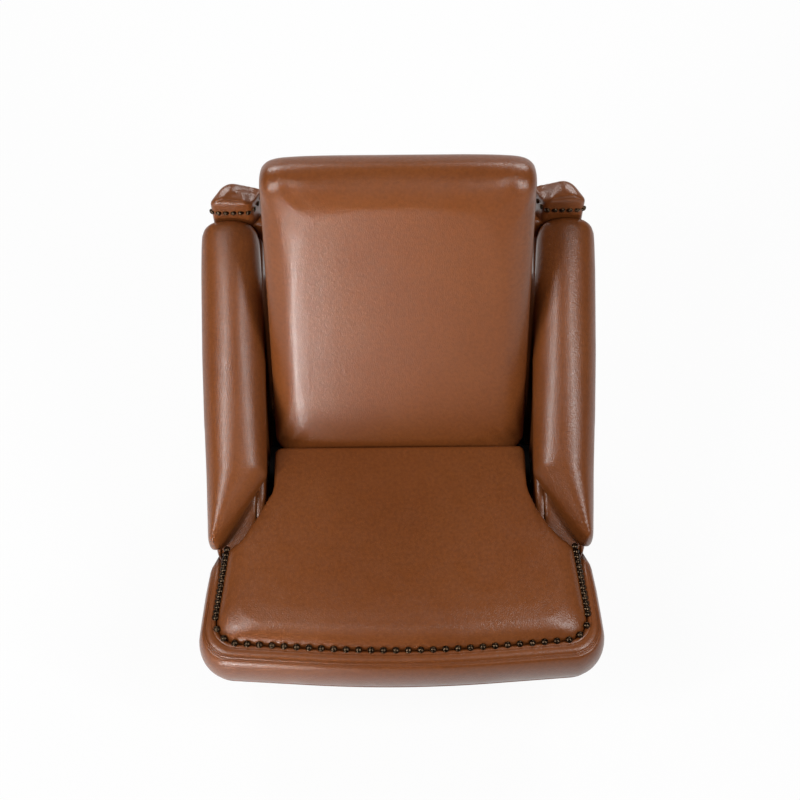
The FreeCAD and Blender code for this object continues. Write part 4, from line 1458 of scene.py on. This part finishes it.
@dataclass(frozen=True)
class Studio:
    """White floor, soft lamps and the camera high in front of the chair."""

    camera_setback: float = -0.810
    camera_height: float = 3.185
    pitch: float = math.radians(63.0)
    yaw: float = math.radians(-0.6)
    lens: float = 67.5
    sensor: float = 36.0
    floor_size: float = 60.0
    floor_glow: float = 0.93
    room_light: float = 0.06
    lamps: tuple[Lamp, ...] = (
        Lamp("left_strip", (-1.55, -0.95, 2.5), (0.16, 1.8), 50.0),
        Lamp("right_strip", (1.45, -0.95, 2.5), (0.14, 1.8), 38.0),
        Lamp("low_front_softbox", (-0.80, -1.80, 0.45), (0.30, 0.6), 1.9,
             target=(-0.16, 0.22, 0.86), spread=math.radians(40)),
        Lamp("rear_left_softbox", (-1.1, 2.5, 2.2), (1.0, 0.7), 30.0),
        Lamp("rear_right_softbox", (1.1, 2.5, 2.2), (1.0, 0.7), 30.0),
    )

    def build_floor(self) -> None:
        """Lay the white floor: lit by the lamps, and white to the camera with a trace of shadow."""
        bm = bmesh.new()
        bmesh.ops.create_grid(bm, x_segments=1, y_segments=1, size=self.floor_size / 2)
        mesh = bpy.data.meshes.new("floor")
        bm.to_mesh(mesh)
        bm.free()
        graph = Graph("floor")
        graph.paint((0.85, 0.85, 0.85, 1.0), 0.9, Specular_IOR_Level=0.0)
        glow = graph.add("ShaderNodeEmission")
        path = graph.add("ShaderNodeLightPath")
        seen = path.outputs["Is Camera Ray"]
        for ray in ("Is Glossy Ray", "Is Transmission Ray"):
            both = graph.add("ShaderNodeMath", operation="MAXIMUM")
            graph.join(seen, both.inputs[0])
            graph.join(path.outputs[ray], both.inputs[1])
            seen = both.outputs[0]
        share = graph.add("ShaderNodeMath", operation="MULTIPLY")
        share.inputs[1].default_value = self.floor_glow
        graph.join(seen, share.inputs[0])
        mix = graph.add("ShaderNodeMixShader")
        graph.join(share.outputs[0], mix.inputs["Fac"])
        graph.join(graph.shader.outputs[0], mix.inputs[1])
        graph.join(glow.outputs[0], mix.inputs[2])
        graph.join(mix.outputs[0], graph.tree.nodes["Material Output"].inputs["Surface"])
        mesh.materials.append(graph.material)
        floor = bpy.data.objects.new("floor", mesh)
        bpy.context.scene.collection.objects.link(floor)

    def build_world(self) -> None:
        """Fill the room with even white light."""
        world = bpy.data.worlds.new("studio")
        bpy.context.scene.world = world
        world.use_nodes = True
        tree = world.node_tree
        path = tree.nodes.new("ShaderNodeLightPath")
        strength = tree.nodes.new("ShaderNodeMapRange")
        strength.inputs["To Min"].default_value = self.room_light
        strength.inputs["To Max"].default_value = 1.0
        tree.links.new(path.outputs["Is Camera Ray"], strength.inputs["Value"])
        background = tree.nodes["Background"]
        background.inputs["Color"].default_value = (1.0, 1.0, 1.0, 1.0)
        tree.links.new(strength.outputs["Result"], background.inputs["Strength"])

    def build_camera(self) -> None:
        """Set the camera where the photograph was taken from."""
        data = bpy.data.cameras.new("camera")
        data.lens = self.lens
        data.sensor_width = self.sensor
        camera = bpy.data.objects.new("camera", data)
        spin = Matrix.Rotation(self.yaw, 4, "Z")
        tilt = Matrix.Rotation(math.pi / 2 - self.pitch, 4, "X")
        place = Matrix.Translation((0.0, FRONT + self.camera_setback, self.camera_height))
        camera.matrix_world = spin @ place @ tilt
        bpy.context.scene.collection.objects.link(camera)
        bpy.context.scene.camera = camera

    def build(self) -> None:
        """Build the studio."""
        bpy.context.scene.view_settings.view_transform = "Standard"
        self.build_floor()
        self.build_world()
        self.build_camera()
        for lamp in self.lamps:
            lamp.build()


def main() -> None:
    """Build the studio, dress the frame and upholster the chair."""
    logging.basicConfig(level=logging.INFO, format="%(name)s: %(message)s")
    Studio().build()
    finishes = Finishes()
    finishes.dress_frame()
    maker = Upholsterer(finishes)
    Seat(maker).build()
    Back(maker).build()
    for side in Side:
        ArmSide(maker, side).build()
    RearPanel(maker).build()
    Footrest(maker).build()


if __name__ == "__main__":
    main()
